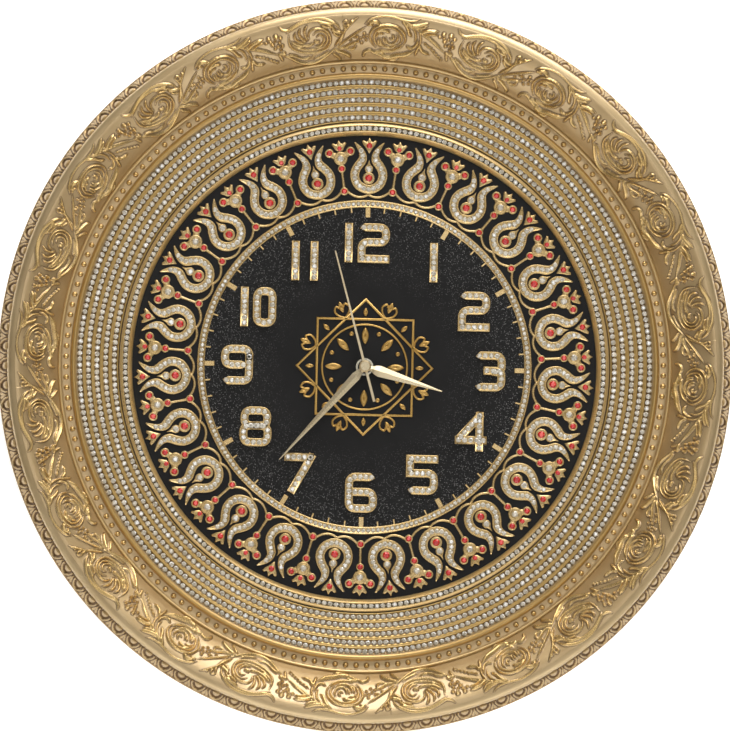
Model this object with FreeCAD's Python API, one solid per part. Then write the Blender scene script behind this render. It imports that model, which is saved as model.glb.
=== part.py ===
# A round wall clock: a deep moulded gold frame with five stepped rows for stones,
# a black dial with a bezel, three hands, and a quartz movement fixed behind the dial.
#
# Millimetres. X points right and Z up, seen by a person who faces the clock, and the
# front looks along -Y. Y = 0 is the wall, and the hands turn on X = Z = 0.
# Sizes along the hands' axis are written as depths: the distance from the wall.

import FreeCAD
import Part

import math
import os

# Frame: the stepped rows that carry the stones, from the dial outwards
FRAME_BORE_R = 141.3
FIRST_STONE_INSET = 2.9
STEP_COUNT = 5
STEP_PITCH = 4.92
STEP_DROP = 2.0
TREAD_WIDTH = 3.3
LIP_THICKNESS = 2.5

# Frame: the front moulding, from the steps outwards
RIB_FOOT = 3.57
RIB_CREST = 1.6
RIB_HEIGHT = 3.2
BEAD_CHANNEL_WIDTH = 6.2
CHANNEL_ABOVE_STEP = 0.6
BAND_WIDTH = 21.2
BAND_RISE = 14.7
BAND_BULGE = 0.145
BAND_CHORDS = 2
COVE_WIDTH = 2.4
TORUS_WIDTH = 5.3
TORUS_SHOULDER = 2.6
TORUS_CHORDS = 3
CREST_ABOVE_BAND = 5.7
EGG_BAND_WIDTH = 5.8
EDGE_BELOW_CREST = 14.0
FRAME_WALL = 3.0

# Scroll relief: two round forms in each unit of the band
SCROLL_COUNT = 12
VORTEX_ANGLE = 2.4
VORTEX_HALF_WIDTH = 10.2
ROSETTE_ANGLE = 19.4
ROSETTE_HALF_WIDTH = 11.8
SCROLL_HALF_HEIGHT = 6.4
SCROLL_RISE = 1.5
SCROLL_CROWN = 0.72
SCROLL_SIDES = 8

# Frame: back
SEAT_WIDTH = 6.2
POCKET_DEPTH = 1.2
RIB_COUNT = 8
RIB_THICKNESS = 2.0
RIB_SETBACK = 10.0
RIB_LAND = 8.0
HOOK_COUNT = 6
HOOK_WIDTH = 9.0
HOOK_THICKNESS = 2.2
HOOK_SETBACK = 0.2
HOOK_NOSE = 1.6
HOOK_PLAY = 0.1

# Dial and bezel
DIAL_THICKNESS = 2.5
DIAL_PLAY = 0.3
BEZEL_WIDTH = 7.1
BEZEL_PLAY = 0.3
BEZEL_SLOPE = 2.0
BEZEL_HEIGHT = 2.7
GASKET_THICKNESS = 1.0
GASKET_HALF = 9.0

# Numerals: block figures on a circle round the hands' axis
NUMERAL_HEIGHT = 22.9
NUMERAL_WIDTH = 18.5
PAIR_FIGURE_WIDTH = 15.5
NUMERAL_STROKE = 4.8
NUMERAL_THICKNESS = 1.6
NUMERAL_BELOW_TULIP = 28.2
NUMERAL_GAP = 2.4

# Tulip band: raised plates between the inner ring and the bezel
TULIP_COUNT = 23
TULIP_BEZEL_GAP = 4.3
TULIP_NECK_BELOW_TIP = 10.0
TULIP_WIDE_BELOW_NECK = 8.7
TULIP_FOOT_BELOW_WIDE = 7.1
TULIP_BOTTOM_BELOW_FOOT = 4.1
TULIP_FOOT_HALF = 7.4
TULIP_HALF_WIDTH = 10.5
TULIP_NECK_HALF = 5.9
TULIP_TIP_HALF = 8.4
TULIP_BAND_WIDTH = 4.6
TULIP_THICKNESS = 1.0

# Movement case
REAR_GAP = 1.5
CASE_WALL = 1.2
CASE_HALF_WIDTH = 28.0
CASE_TOP = 28.0
PARTITION = 1.0
PLATE_THICKNESS = 1.0
POST_HALF = 1.5
POST_EDGE = 0.6
MIDDLE_POST_LEFT = 3.0
PLATE_HALF_WIDTH = 21.0
PLATE_RIGHT = 22.6
PLATE_TOP = 18.6
PLATE_TOP_RIGHT = 8.0
PLATE_SIDE_LOW = 6.5
PLATE_CHAMFER = 4.0
CASE_PLAY = 0.1

# Cell and its bay
CELL_R = 7.1
CELL_LENGTH = 49.2
CELL_NUB_R = 2.6
CELL_NUB_LENGTH = 1.1
CELL_PLAY = 0.15
CONTACT_THICKNESS = 0.4
CONTACT_WIDTH = 9.0
CONTACT_NOSE = 1.5
CONTACT_PLAY = 0.05

# Gear train: modules, tooth counts, wheel thickness, and the teeth in shares of module and pitch
ROTOR_MODULE = 0.40
ROTOR_LEAVES = 6
INTERMEDIATE_TEETH = 30
SECONDS_MODULE = 0.45
INTERMEDIATE_LEAVES = 6
SECONDS_TEETH = 36
THIRD_MODULE = 0.45
SECONDS_LEAVES = 6
THIRD_TEETH = 45
THIRD_LEAVES = 6
CENTRE_TEETH = 48
MINUTE_MODULE = 0.70
CANNON_LEAVES = 8
MOTION_TEETH = 24
MOTION_LEAVES = 8
HOUR_TEETH = 32
SETTING_LEAVES = 10
WHEEL_THICKNESS = 0.8
TOOTH_ROOT = 1.35
LEAF_TIP = 0.55
LEAF_ROOT = 1.3
LEAF_TIP_HALF = 0.07
LEAF_ROOT_HALF = 0.21
LEVEL_GAP = 0.4
FRONT_PLAY = 0.3
PINION_OVERLAP = 0.1

# Directions of the arbors from each other, in degrees from +X towards +Z
THIRD_DIRECTION = 165.0
INTERMEDIATE_DIRECTION = 60.0
ROTOR_DIRECTION = 110.0
MOTION_DIRECTION = 10.0
SETTING_DIRECTION = 80.0

# Arbors, pipes and their running fits
ARBOR_R = 0.50
MINUTE_PIPE_R = 1.60
HOUR_PIPE_R = 2.50
BUSH_R = 3.90
SETTING_SHAFT_R = 1.50
SLENDER_R = 2.0
SLENDER_SIDES = 12
STOUT_SIDES = 24
MOTION_PIN_R = 0.70
RUNNING_FIT = 0.07
BORE_DEPTH = 0.9
ARBOR_END_PLAY = 0.1
BUSH_STANDS_OUT = 3.9

# Nut on the bush
NUT_R = 5.04
NUT_HEIGHT = 2.6
NUT_SLOT = 1.2
NUT_SLOT_DEPTH = 0.8
LOOSE_FIT = 0.20

# Motor
MAGNET_R = 3.0
MAGNET_LENGTH = 2.3
STATOR_AIR_GAP = 0.40
STATOR_THICKNESS = 1.0
STATOR_MARGIN = 2.4
STATOR_LEG = 3.4
STATOR_EYE_WALL = 1.9
STATOR_YOKE_HALF = 2.0
STATOR_NECK_HALF = 0.5
STATOR_NECK_CUT = 1.2
COIL_LENGTH = 15.4
COIL_R = 2.8
COIL_CHEEK = 0.8
COIL_ABOVE_ROTOR = 8.2
CORE_HEIGHT = 2.4
BOBBIN_WALL = 0.5

# Circuit board
BOARD_WIDTH = 12.4
BOARD_HEIGHT = 21.0
BOARD_THICKNESS = 0.8
BOARD_GAP = 0.4
BOARD_FOOT_INSET = 3.0
CHIP_HALF = 2.4
CHIP_THICKNESS = 0.9
CRYSTAL_R = 1.0
CRYSTAL_LENGTH = 6.0
CRYSTAL_INSET = 0.8

# Setting knob
KNOB_R = 6.0
KNOB_THICKNESS = 1.1
KNOB_TEETH = 14
KNOB_TOOTH = 0.6
KNOB_GAP = 0.1

# Hands, with their angles clockwise from twelve
HOUR_HAND_ANGLE = 106.5
HOUR_HAND_LENGTH = 46.7
HOUR_HAND_WIDTH = 6.5
MINUTE_HAND_ANGLE = 221.3
MINUTE_HAND_LENGTH = 72.8
MINUTE_HAND_WIDTH = 5.3
SECONDS_HAND_ANGLE = 344.3
SECONDS_HAND_LENGTH = 68.7
SECONDS_TAIL_LENGTH = 21.0
SECONDS_TIP_WIDTH = 0.8
SECONDS_TAIL_WIDTH = 1.4
SECONDS_EYE_R = 2.4
HAND_NECK_WIDTH = 3.3
HAND_NECK_LENGTH = 1.4
HAND_ROOT = 0.4
HAND_SHOULDER_STEP = 1.2
HAND_SHOULDER_SHARE = 0.74
HAND_SHOULDER_LENGTH = 4.0
HAND_TIP_HALF = 0.25
HAND_SHEET = 0.5
HAND_BLADE_LIFT = 0.3
HAND_FOLD = 0.22
HAND_BOSS_WALL = 0.8
HAND_BOSS_HEIGHT = 1.5
HAND_ABOVE_BUSH = 0.3
HAND_SPACING = 0.7
HAND_FIT = 0.02
CAP_R = 3.46
CAP_HEIGHT = 1.5
CAP_BEVEL = 0.9

# Hanger and fasteners
HANGER_LENGTH = 62.0
HANGER_HEIGHT = 20.0
HANGER_THICKNESS = 1.2
HANGER_DEPTH = 2.2
HANGER_BELOW_RIM = 35.0
HANGER_SCREW_SPACING = 46.0
KEYHOLE_R = 4.5
KEYHOLE_BELOW_CENTRE = 3.0
KEYHOLE_SLOT = 4.5
KEYHOLE_RISE = 8.0
SCREW_R = 1.4
SCREW_HEAD_R = 3.0
SCREW_HEAD_HEIGHT = 1.8
SCREW_LENGTH = 12.0
SCREW_FIT = 0.05
SCREW_BOSS_HALF = 4.0

# Angles
HALF_TURN = 180.0
FULL_TURN = 2 * HALF_TURN

# Radii of the frame, each worked out from the one inside it
first_stone_r = FRAME_BORE_R + FIRST_STONE_INSET
pocket_r = FRAME_BORE_R + SEAT_WIDTH
steps_r = first_stone_r + (STEP_COUNT - 1) * STEP_PITCH + TREAD_WIDTH / 2
rib_r = steps_r + RIB_FOOT
band_inner_r = rib_r + BEAD_CHANNEL_WIDTH
band_outer_r = band_inner_r + BAND_WIDTH
torus_inner_r = band_outer_r + COVE_WIDTH
torus_outer_r = torus_inner_r + TORUS_WIDTH
frame_r = torus_outer_r + EGG_BAND_WIDTH
side_r = frame_r - FRAME_WALL
hanger_z = side_r - HANGER_BELOW_RIM

# Radii on the dial, each worked out from the one outside it
bezel_outer_r = FRAME_BORE_R - BEZEL_PLAY
bezel_inner_r = bezel_outer_r - BEZEL_WIDTH
tulip_tip_r = bezel_inner_r - TULIP_BEZEL_GAP
tulip_neck_r = tulip_tip_r - TULIP_NECK_BELOW_TIP
tulip_wide_r = tulip_neck_r - TULIP_WIDE_BELOW_NECK
tulip_foot_r = tulip_wide_r - TULIP_FOOT_BELOW_WIDE
tulip_bottom_r = tulip_foot_r - TULIP_BOTTOM_BELOW_FOOT
numeral_circle_r = tulip_bottom_r - NUMERAL_BELOW_TULIP

# Depths from the wall, each worked out from the one behind it
case_back = REAR_GAP
plate_back_inner = case_back + CASE_WALL
case_front_inner = case_back + 2 * CELL_R + CELL_PLAY
case_front = case_front_inner + CASE_WALL
dial_back = case_front + GASKET_THICKNESS
dial_front = dial_back + DIAL_THICKNESS
lowest_tread = dial_front + LIP_THICKNESS
highest_tread = lowest_tread + (STEP_COUNT - 1) * STEP_DROP
channel_floor = highest_tread + CHANNEL_ABOVE_STEP
band_top = channel_floor + BAND_RISE
crest = band_top + CREST_ABOVE_BAND
bush_front = dial_front + BUSH_STANDS_OUT

# Depths of the wheels inside the movement, from the front plate backwards
hour_wheel_back = case_front_inner - FRONT_PLAY - WHEEL_THICKNESS
motion_wheel_back = hour_wheel_back - LEVEL_GAP - WHEEL_THICKNESS
centre_wheel_back = motion_wheel_back - LEVEL_GAP - WHEEL_THICKNESS
third_wheel_back = centre_wheel_back - LEVEL_GAP - WHEEL_THICKNESS
middle_plate_front = third_wheel_back - LEVEL_GAP
middle_plate_back = middle_plate_front - PLATE_THICKNESS
seconds_wheel_back = middle_plate_back - LEVEL_GAP - WHEEL_THICKNESS
intermediate_wheel_back = seconds_wheel_back - LEVEL_GAP - WHEEL_THICKNESS
magnet_front = intermediate_wheel_back - LEVEL_GAP
magnet_back = magnet_front - MAGNET_LENGTH
stator_back = (magnet_front + magnet_back - STATOR_THICKNESS) / 2
arbor_back = plate_back_inner - BORE_DEPTH + ARBOR_END_PLAY
arbor_front_end = case_front_inner + BORE_DEPTH - ARBOR_END_PLAY

# Depths of the hands in front of the dial
hour_boss_back = bush_front + HAND_ABOVE_BUSH
hour_boss_front = hour_boss_back + HAND_BOSS_HEIGHT
minute_boss_back = hour_boss_front + HAND_SPACING
minute_boss_front = minute_boss_back + HAND_BOSS_HEIGHT
seconds_hand_back = minute_boss_front + HAND_SPACING
seconds_hand_front = seconds_hand_back + HAND_SHEET


def place(origin, distance, degrees):
    """The point at a distance from an origin, in a direction from +X towards +Z."""
    turn = math.radians(degrees)
    return (origin[0] + distance * math.cos(turn), origin[1] + distance * math.sin(turn))


# Arbor places in the plane of the dial
CENTRE = (0.0, 0.0)
third_distance = THIRD_MODULE * (SECONDS_LEAVES + THIRD_TEETH) / 2
third_at = place(CENTRE, third_distance, THIRD_DIRECTION)
centre_module = 2 * third_distance / (THIRD_LEAVES + CENTRE_TEETH)
intermediate_distance = SECONDS_MODULE * (INTERMEDIATE_LEAVES + SECONDS_TEETH) / 2
intermediate_at = place(CENTRE, intermediate_distance, INTERMEDIATE_DIRECTION)
rotor_distance = ROTOR_MODULE * (ROTOR_LEAVES + INTERMEDIATE_TEETH) / 2
rotor_at = place(intermediate_at, rotor_distance, ROTOR_DIRECTION)
motion_distance = MINUTE_MODULE * (CANNON_LEAVES + MOTION_TEETH) / 2
motion_at = place(CENTRE, motion_distance, MOTION_DIRECTION)
hour_module = 2 * motion_distance / (MOTION_LEAVES + HOUR_TEETH)
setting_distance = MINUTE_MODULE * (MOTION_TEETH + SETTING_LEAVES) / 2
setting_at = place(motion_at, setting_distance, SETTING_DIRECTION)

# The bay's partition clears the largest wheel on the hands' axis
partition_top = -(centre_module * (CENTRE_TEETH / 2 + 1) + LEVEL_GAP)
partition_bottom = partition_top - PARTITION
cell_z = partition_bottom - CELL_PLAY - CELL_R
cell_depth = case_back + CELL_R
case_bottom_inner = cell_z - CELL_R - CELL_PLAY
case_bottom = case_bottom_inner - CASE_WALL
case_half_inner = CASE_HALF_WIDTH - CASE_WALL
cell_nub_x = case_half_inner - CONTACT_THICKNESS - CONTACT_PLAY
cell_front_x = cell_nub_x - CELL_NUB_LENGTH
cell_back_x = cell_front_x - CELL_LENGTH


def vector(x, depth, z):
    """A point of the model from its depth in front of the wall."""
    return FreeCAD.Vector(x, -depth, z)


def cylinder(radius, back, front, at=CENTRE):
    """A round bar along the hands' axis, between two depths."""
    return Part.makeCylinder(radius, front - back, vector(at[0], front, at[1]), FreeCAD.Vector(0, 1, 0))


def flats(radius, at=CENTRE):
    """The corners of a small round outline, drawn with flats so that the model stays light."""
    sides = SLENDER_SIDES if radius < SLENDER_R else STOUT_SIDES
    return [place(at, radius, FULL_TURN * i / sides) for i in range(sides)]


def bar(radius, back, front, at=CENTRE):
    """A small turned piece between two depths."""
    return flat_plate(flats(radius, at), back, front)


def bored(shape, radius, back, front, at=CENTRE):
    """The shape with a hole between two depths."""
    return shape.cut(bar(radius, back, front, at))


def box(x_range, depth_range, z_range):
    """A block between two values on each axis."""
    x0, x1 = x_range
    back, front = depth_range
    z0, z1 = z_range
    return Part.makeBox(x1 - x0, front - back, z1 - z0, vector(x0, front, z0))


def fused(shapes):
    """One clean solid from several that touch or overlap."""
    first, *rest = shapes
    return first.multiFuse(rest).removeSplitter() if rest else first


def turned(shape, degrees, at=CENTRE):
    """A copy turned clockwise, seen from the front, about an arbor."""
    copy = shape.copy()
    copy.rotate(vector(at[0], 0, at[1]), FreeCAD.Vector(0, 1, 0), degrees)
    return copy


def around(shape, count, first=0.0):
    """Copies of one shape, evenly spaced round the hands' axis."""
    return [turned(shape, first + FULL_TURN * i / count) for i in range(count)]


def rounded(start, end, rise, chords):
    """The points of a circular arc between two (radius, depth) points, cut into chords.
    The arc stands out by its rise, to the right of the way from start to end."""
    half = math.hypot(end[0] - start[0], end[1] - start[1]) / 2
    radius = (half ** 2 + rise ** 2) / (2 * rise)
    along = ((end[0] - start[0]) / (2 * half), (end[1] - start[1]) / (2 * half))
    out = (along[1], -along[0])
    sweep = 2 * math.atan2(rise, half)
    points = []
    for i in range(1, chords):
        angle = sweep * (2 * i / chords - 1)
        side = radius * math.sin(angle)
        up = radius * math.cos(angle) - radius + rise
        points.append(((start[0] + end[0]) / 2 + side * along[0] + up * out[0],
                       (start[1] + end[1]) / 2 + side * along[1] + up * out[1]))
    return points


def revolved(points):
    """A ring whose section is an outline of (radius, depth) points, turned about the hands' axis."""
    corners = [vector(r, depth, 0) for r, depth in points]
    face = Part.Face(Part.makePolygon(corners + corners[:1]))
    return face.revolve(FreeCAD.Vector(0, 0, 0), FreeCAD.Vector(0, 1, 0), FULL_TURN)


def skinned(sections):
    """A solid through a row of outlines that have as many corners, with a flat side to each edge."""
    outlines = [sections[0], sections[-1]]
    for near, far in zip(sections, sections[1:]):
        outlines += [[near[i - 1], near[i], far[i], far[i - 1]] for i in range(len(near))]
    faces = [Part.Face(Part.makePolygon(outline + outline[:1])) for outline in outlines]
    return Part.makeSolid(Part.makeShell(faces))


def flat_plate(points, back, front):
    """A plate with an outline of (x, z) points, between two depths."""
    corners = [vector(x, front, z) for x, z in points]
    face = Part.Face(Part.makePolygon(corners + corners[:1]))
    return face.extrude(FreeCAD.Vector(0, front - back, 0))


def export(name, solids):
    """Writes one node: a single solid, or a group of separate like ones."""
    shape = solids if isinstance(solids, Part.Shape) else Part.makeCompound(solids)
    shape.exportStep(f"parts/{name}.step")
    volume = sum(s.Volume for s in shape.Solids)
    print(f"{name}: {len(shape.Solids)} solid(s), {volume:.1f} mm3, valid {shape.isValid()}")


# Frame

def step_points():
    """The stepped front from the outermost tread down to the bore, outside first."""
    points = []
    for i in reversed(range(STEP_COUNT)):
        stone_r = first_stone_r + i * STEP_PITCH
        depth = lowest_tread + i * STEP_DROP
        points.append((stone_r + TREAD_WIDTH / 2, depth))
        points.append((stone_r - TREAD_WIDTH / 2, depth))
    return points


def band_points():
    """The full, rounded band for the scrolls, from its outer edge inwards."""
    outer = (band_outer_r, band_top)
    inner = (band_inner_r, channel_floor)
    bulge = BAND_BULGE * math.hypot(BAND_WIDTH, BAND_RISE)
    return [outer, *rounded(outer, inner, bulge, BAND_CHORDS), inner]


def frame_front_points():
    """The front of the frame, from the wall over the crest to the rib before the steps."""
    torus = [(torus_outer_r, crest - TORUS_SHOULDER), (torus_inner_r, crest - TORUS_SHOULDER)]
    return [
        (frame_r, 0),
        (frame_r, crest - EDGE_BELOW_CREST),
        torus[0],
        *rounded(torus[0], torus[1], TORUS_SHOULDER, TORUS_CHORDS),
        torus[1],
        *band_points(),
        (rib_r, channel_floor),
        (rib_r - RIB_CREST, highest_tread + RIB_HEIGHT),
    ]


def roof_depth(radius):
    """The roof of the hollow back: a cone from the dial's seat that stays under the channel."""
    start = dial_front - POCKET_DEPTH
    end = channel_floor - FRAME_WALL
    return start + (end - start) * (radius - pocket_r) / (band_inner_r - pocket_r)


def frame_back_points():
    """The hollow back, from the dial's seat outwards to the wall rim."""
    return [
        (FRAME_BORE_R, dial_front),
        (pocket_r, dial_front),
        (pocket_r, roof_depth(pocket_r)),
        (side_r, roof_depth(side_r)),
        (side_r, 0),
    ]


def radial_plate(points, thickness):
    """A plate that stands in the plane X = 0, with an outline of (radius, depth) points."""
    corners = [vector(-thickness / 2, depth, radius) for radius, depth in points]
    face = Part.Face(Part.makePolygon(corners + corners[:1]))
    return face.extrude(FreeCAD.Vector(thickness, 0, 0))


def frame_rib():
    """One stiffening rib across the hollow back; its outer edges lie inside the frame's wall."""
    sunk = FRAME_WALL / 3
    inner_r = pocket_r + FRAME_WALL
    return radial_plate([
        (inner_r, roof_depth(inner_r) + sunk),
        (side_r + sunk, roof_depth(side_r) + sunk),
        (side_r + sunk, RIB_SETBACK),
        (side_r - RIB_LAND, RIB_SETBACK),
    ], RIB_THICKNESS)


def snap_hook():
    """One hook of the dial's seat, whose nose laps over the back of the dial's edge."""
    nose_front = dial_back - HOOK_PLAY
    nose_back = nose_front - HOOK_NOSE
    inner_r = pocket_r + HOOK_SETBACK
    outer_r = pocket_r + HOOK_THICKNESS
    root = dial_front + POCKET_DEPTH / 2
    return radial_plate([
        (inner_r, root),
        (inner_r, nose_front),
        (pocket_r - HOOK_NOSE, nose_front),
        (inner_r, nose_back),
        (outer_r, nose_back),
        (outer_r, root),
    ], HOOK_WIDTH)


def hanger_screw_places():
    """The two screws of the hanger plate."""
    half = HANGER_SCREW_SPACING / 2
    return [(-half, hanger_z), (half, hanger_z)]


def square_post(at, half, back, front):
    """A square post between two depths."""
    x, z = at
    return box((x - half, x + half), (back, front), (z - half, z + half))


def frame_shell():
    """The moulded ring without its ribs, hooks and bosses."""
    return revolved(frame_front_points() + step_points() + frame_back_points())


def make_frame():
    """The moulded frame: a hollow ring with ribs, hooks for the dial and two hanger bosses."""
    hanger_front = HANGER_DEPTH + HANGER_THICKNESS
    boss_front = channel_floor - FRAME_WALL / 3
    bosses = [square_post(at, SCREW_BOSS_HALF, hanger_front, boss_front) for at in hanger_screw_places()]
    ribs = around(frame_rib(), RIB_COUNT, HALF_TURN / RIB_COUNT)
    hooks = around(snap_hook(), HOOK_COUNT, HALF_TURN / HOOK_COUNT)
    frame = fused([frame_shell()] + ribs + hooks + bosses)
    for at in hanger_screw_places():
        frame = bored(frame, SCREW_R + SCREW_FIT, 0, hanger_front + SCREW_LENGTH, at)
    return frame


def scroll_form(half_width, turn):
    """One round form of the relief, on the band's outer slope; the slope is hollow across,
    so the form stands on the ends of its foot."""
    outer, middle = band_points()[:2]
    reach = math.hypot(outer[0] - middle[0], outer[1] - middle[1])
    rise = (outer[1] - middle[1]) / reach
    run = (outer[0] - middle[0]) / reach
    centre = ((outer[0] + middle[0]) / 2, (outer[1] + middle[1]) / 2)
    end_x, end_z = place(CENTRE, 1.0, HALF_TURN / SCROLL_SIDES)
    end_r = centre[0] - SCROLL_HALF_HEIGHT * end_z * run
    hollow = rise * (half_width * end_x) ** 2 / (2 * end_r)
    sections = []
    for height, share in ((hollow, 1.0), (hollow + SCROLL_RISE, SCROLL_CROWN)):
        section = []
        for i in range(SCROLL_SIDES):
            across, up = place(CENTRE, share, FULL_TURN * (i + 0.5) / SCROLL_SIDES)
            radius = centre[0] + up * SCROLL_HALF_HEIGHT * run - height * rise
            depth = centre[1] + up * SCROLL_HALF_HEIGHT * rise + height * run
            section.append(vector(across * half_width, depth, radius))
        sections.append(section)
    return turned(skinned(sections), turn)


def make_scroll_relief():
    """The round forms of the scroll relief: a vortex and a rosette in each unit of the band."""
    vortices = around(scroll_form(VORTEX_HALF_WIDTH, VORTEX_ANGLE), SCROLL_COUNT)
    rosettes = around(scroll_form(ROSETTE_HALF_WIDTH, ROSETTE_ANGLE), SCROLL_COUNT)
    return vortices + rosettes


# Dial

def make_dial_plate():
    """The round board that carries the dial's face."""
    return bored(cylinder(pocket_r - DIAL_PLAY, dial_back, dial_front), BUSH_R + LOOSE_FIT, 0, crest)


def make_bezel_ring():
    """The raised ring round the dial, with a flat top for one row of stones."""
    return revolved([
        (bezel_inner_r, dial_front),
        (bezel_outer_r, dial_front),
        (bezel_outer_r, dial_front + BEZEL_HEIGHT),
        (bezel_inner_r + BEZEL_SLOPE, dial_front + BEZEL_HEIGHT),
    ])


def make_tulip_band():
    """The tulips round the dial: each a flat cup, whose arms lean in and then flare out to a point."""
    right = [
        (TULIP_FOOT_HALF, tulip_foot_r),
        (TULIP_HALF_WIDTH, tulip_wide_r),
        (TULIP_NECK_HALF, tulip_neck_r),
        (TULIP_TIP_HALF, tulip_tip_r),
        (TULIP_NECK_HALF - TULIP_BAND_WIDTH, tulip_neck_r),
        (TULIP_HALF_WIDTH - TULIP_BAND_WIDTH, tulip_wide_r),
    ]
    outline = [(0, tulip_bottom_r), *right, (0, tulip_bottom_r + TULIP_BAND_WIDTH)]
    outline += [(-x, z) for x, z in reversed(right)]
    tulip = flat_plate(outline, dial_front, dial_front + TULIP_THICKNESS)
    return around(tulip, TULIP_COUNT)


def figure_strokes(figure, width):
    """The strokes of a block figure, as boxes (x0, x1, z0, z1) about its centre."""
    w = width / 2
    h = NUMERAL_HEIGHT / 2
    t = NUMERAL_STROKE
    bars = {
        "top": (-w, w, h - t, h),
        "middle": (-w, w, -t / 2, t / 2),
        "bottom": (-w, w, -h, -h + t),
        "upper_left": (-w, -w + t, -t / 2, h),
        "lower_left": (-w, -w + t, -h, t / 2),
        "upper_right": (w - t, w, -t / 2, h),
        "lower_right": (w - t, w, -h, t / 2),
        "stem": (-t / 2, t / 2, -h, h),
        "flag": (-t, 0, h - t, h),
    }
    strokes = {
        "0": "top bottom upper_left lower_left upper_right lower_right",
        "1": "stem flag",
        "2": "top middle bottom upper_right lower_left",
        "3": "top middle bottom upper_right lower_right",
        "4": "middle upper_left upper_right lower_right",
        "5": "top middle bottom upper_left lower_right",
        "6": "top middle bottom upper_left lower_left lower_right",
        "7": "top upper_right lower_right",
        "8": "top middle bottom upper_left lower_left upper_right lower_right",
        "9": "top middle bottom upper_left upper_right lower_right",
    }
    return [bars[name] for name in strokes[figure].split()]


def make_figure(figure, width, x, z):
    """One block figure as a raised plate, centred on a point of the dial."""
    depths = (dial_front, dial_front + NUMERAL_THICKNESS)
    bars = figure_strokes(figure, width)
    return fused([box((x + x0, x + x1), depths, (z + z0, z + z1)) for x0, x1, z0, z1 in bars])


def make_numerals():
    """The twelve hours, each figure a piece of its own, upright at its place."""
    figures = []
    for hour in range(1, 13):
        x, z = place(CENTRE, numeral_circle_r, HALF_TURN / 2 - FULL_TURN * hour / 12)
        text = str(hour)
        wide = NUMERAL_WIDTH if len(text) == 1 else PAIR_FIGURE_WIDTH
        widths = [NUMERAL_STROKE if c == "1" else wide for c in text]
        left = x - (sum(widths) + NUMERAL_GAP * (len(text) - 1)) / 2
        for c, width in zip(text, widths):
            figures.append(make_figure(c, width, left + width / 2, z))
            left += width + NUMERAL_GAP
    return figures


# Gears

def mesh_phase(direction, teeth, phase, mate_teeth):
    """The phase of a gear that meshes with one of known phase, along the line of centres."""
    offset = phase - direction
    return direction + HALF_TURN - offset * teeth / mate_teeth + HALF_TURN / mate_teeth


def wheel(module, teeth, phase, at, back, front):
    """A wheel with pointed teeth."""
    pitch_r = module * teeth / 2
    step = 2 * math.pi / teeth
    points = []
    for i in range(teeth):
        angle = math.radians(phase) + i * step
        for turn, radius in ((0, pitch_r + module), (0.5, pitch_r - TOOTH_ROOT * module)):
            a = angle + turn * step
            points.append((at[0] + radius * math.cos(a), at[1] + radius * math.sin(a)))
    return flat_plate(points, back, front)


def pinion(module, leaves, phase, at, back, front):
    """A pinion with slim leaves and flat gaps, which take the wheel's pointed teeth."""
    pitch_r = module * leaves / 2
    step = 2 * math.pi / leaves
    tip_r = pitch_r + LEAF_TIP * module
    root_r = pitch_r - LEAF_ROOT * module
    corners = [
        (-LEAF_ROOT_HALF, root_r), (-LEAF_TIP_HALF, tip_r),
        (LEAF_TIP_HALF, tip_r), (LEAF_ROOT_HALF, root_r),
    ]
    points = []
    for i in range(leaves):
        angle = math.radians(phase) + i * step
        for turn, radius in corners:
            a = angle + turn * step
            points.append((at[0] + radius * math.cos(a), at[1] + radius * math.sin(a)))
    return flat_plate(points, back, front)


def make_hour_wheel():
    """The hour wheel and its pipe, which carries the hour hand."""
    facing = MOTION_DIRECTION + HALF_TURN
    phase = mesh_phase(facing, MOTION_LEAVES, facing, HOUR_TEETH)
    front = hour_wheel_back + WHEEL_THICKNESS
    gear = wheel(hour_module, HOUR_TEETH, phase, CENTRE, hour_wheel_back, front)
    pipe = bar(HOUR_PIPE_R, hour_wheel_back, hour_boss_front)
    return bored(fused([gear, pipe]), MINUTE_PIPE_R + RUNNING_FIT, 0, hour_boss_front)


def motion_phase():
    """The motion wheel's phase, with a gap facing a leaf of the cannon pinion."""
    return mesh_phase(MOTION_DIRECTION, CANNON_LEAVES, MOTION_DIRECTION, MOTION_TEETH)


def make_motion_wheel():
    """The motion wheel: driven by the cannon pinion, it drives the hour wheel."""
    front = motion_wheel_back + WHEEL_THICKNESS
    gear = wheel(MINUTE_MODULE, MOTION_TEETH, motion_phase(), motion_at, motion_wheel_back, front)
    facing = MOTION_DIRECTION + HALF_TURN
    leaves = pinion(hour_module, MOTION_LEAVES, facing, motion_at, front, case_front_inner - FRONT_PLAY)
    return bored(fused([gear, leaves]), MOTION_PIN_R + RUNNING_FIT, 0, case_front, motion_at)


def make_minute_wheel():
    """The centre wheel, the cannon pinion and the minute pipe, moulded as one piece."""
    facing = THIRD_DIRECTION + HALF_TURN
    phase = mesh_phase(facing, THIRD_LEAVES, facing, CENTRE_TEETH)
    wheel_front = centre_wheel_back + WHEEL_THICKNESS
    pinion_front = motion_wheel_back + WHEEL_THICKNESS + PINION_OVERLAP
    gear = wheel(centre_module, CENTRE_TEETH, phase, CENTRE, centre_wheel_back, wheel_front)
    leaves = pinion(MINUTE_MODULE, CANNON_LEAVES, MOTION_DIRECTION, CENTRE, wheel_front, pinion_front)
    pipe = bar(MINUTE_PIPE_R, centre_wheel_back, minute_boss_front)
    return bored(fused([gear, leaves, pipe]), ARBOR_R + RUNNING_FIT, 0, minute_boss_front)


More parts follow.
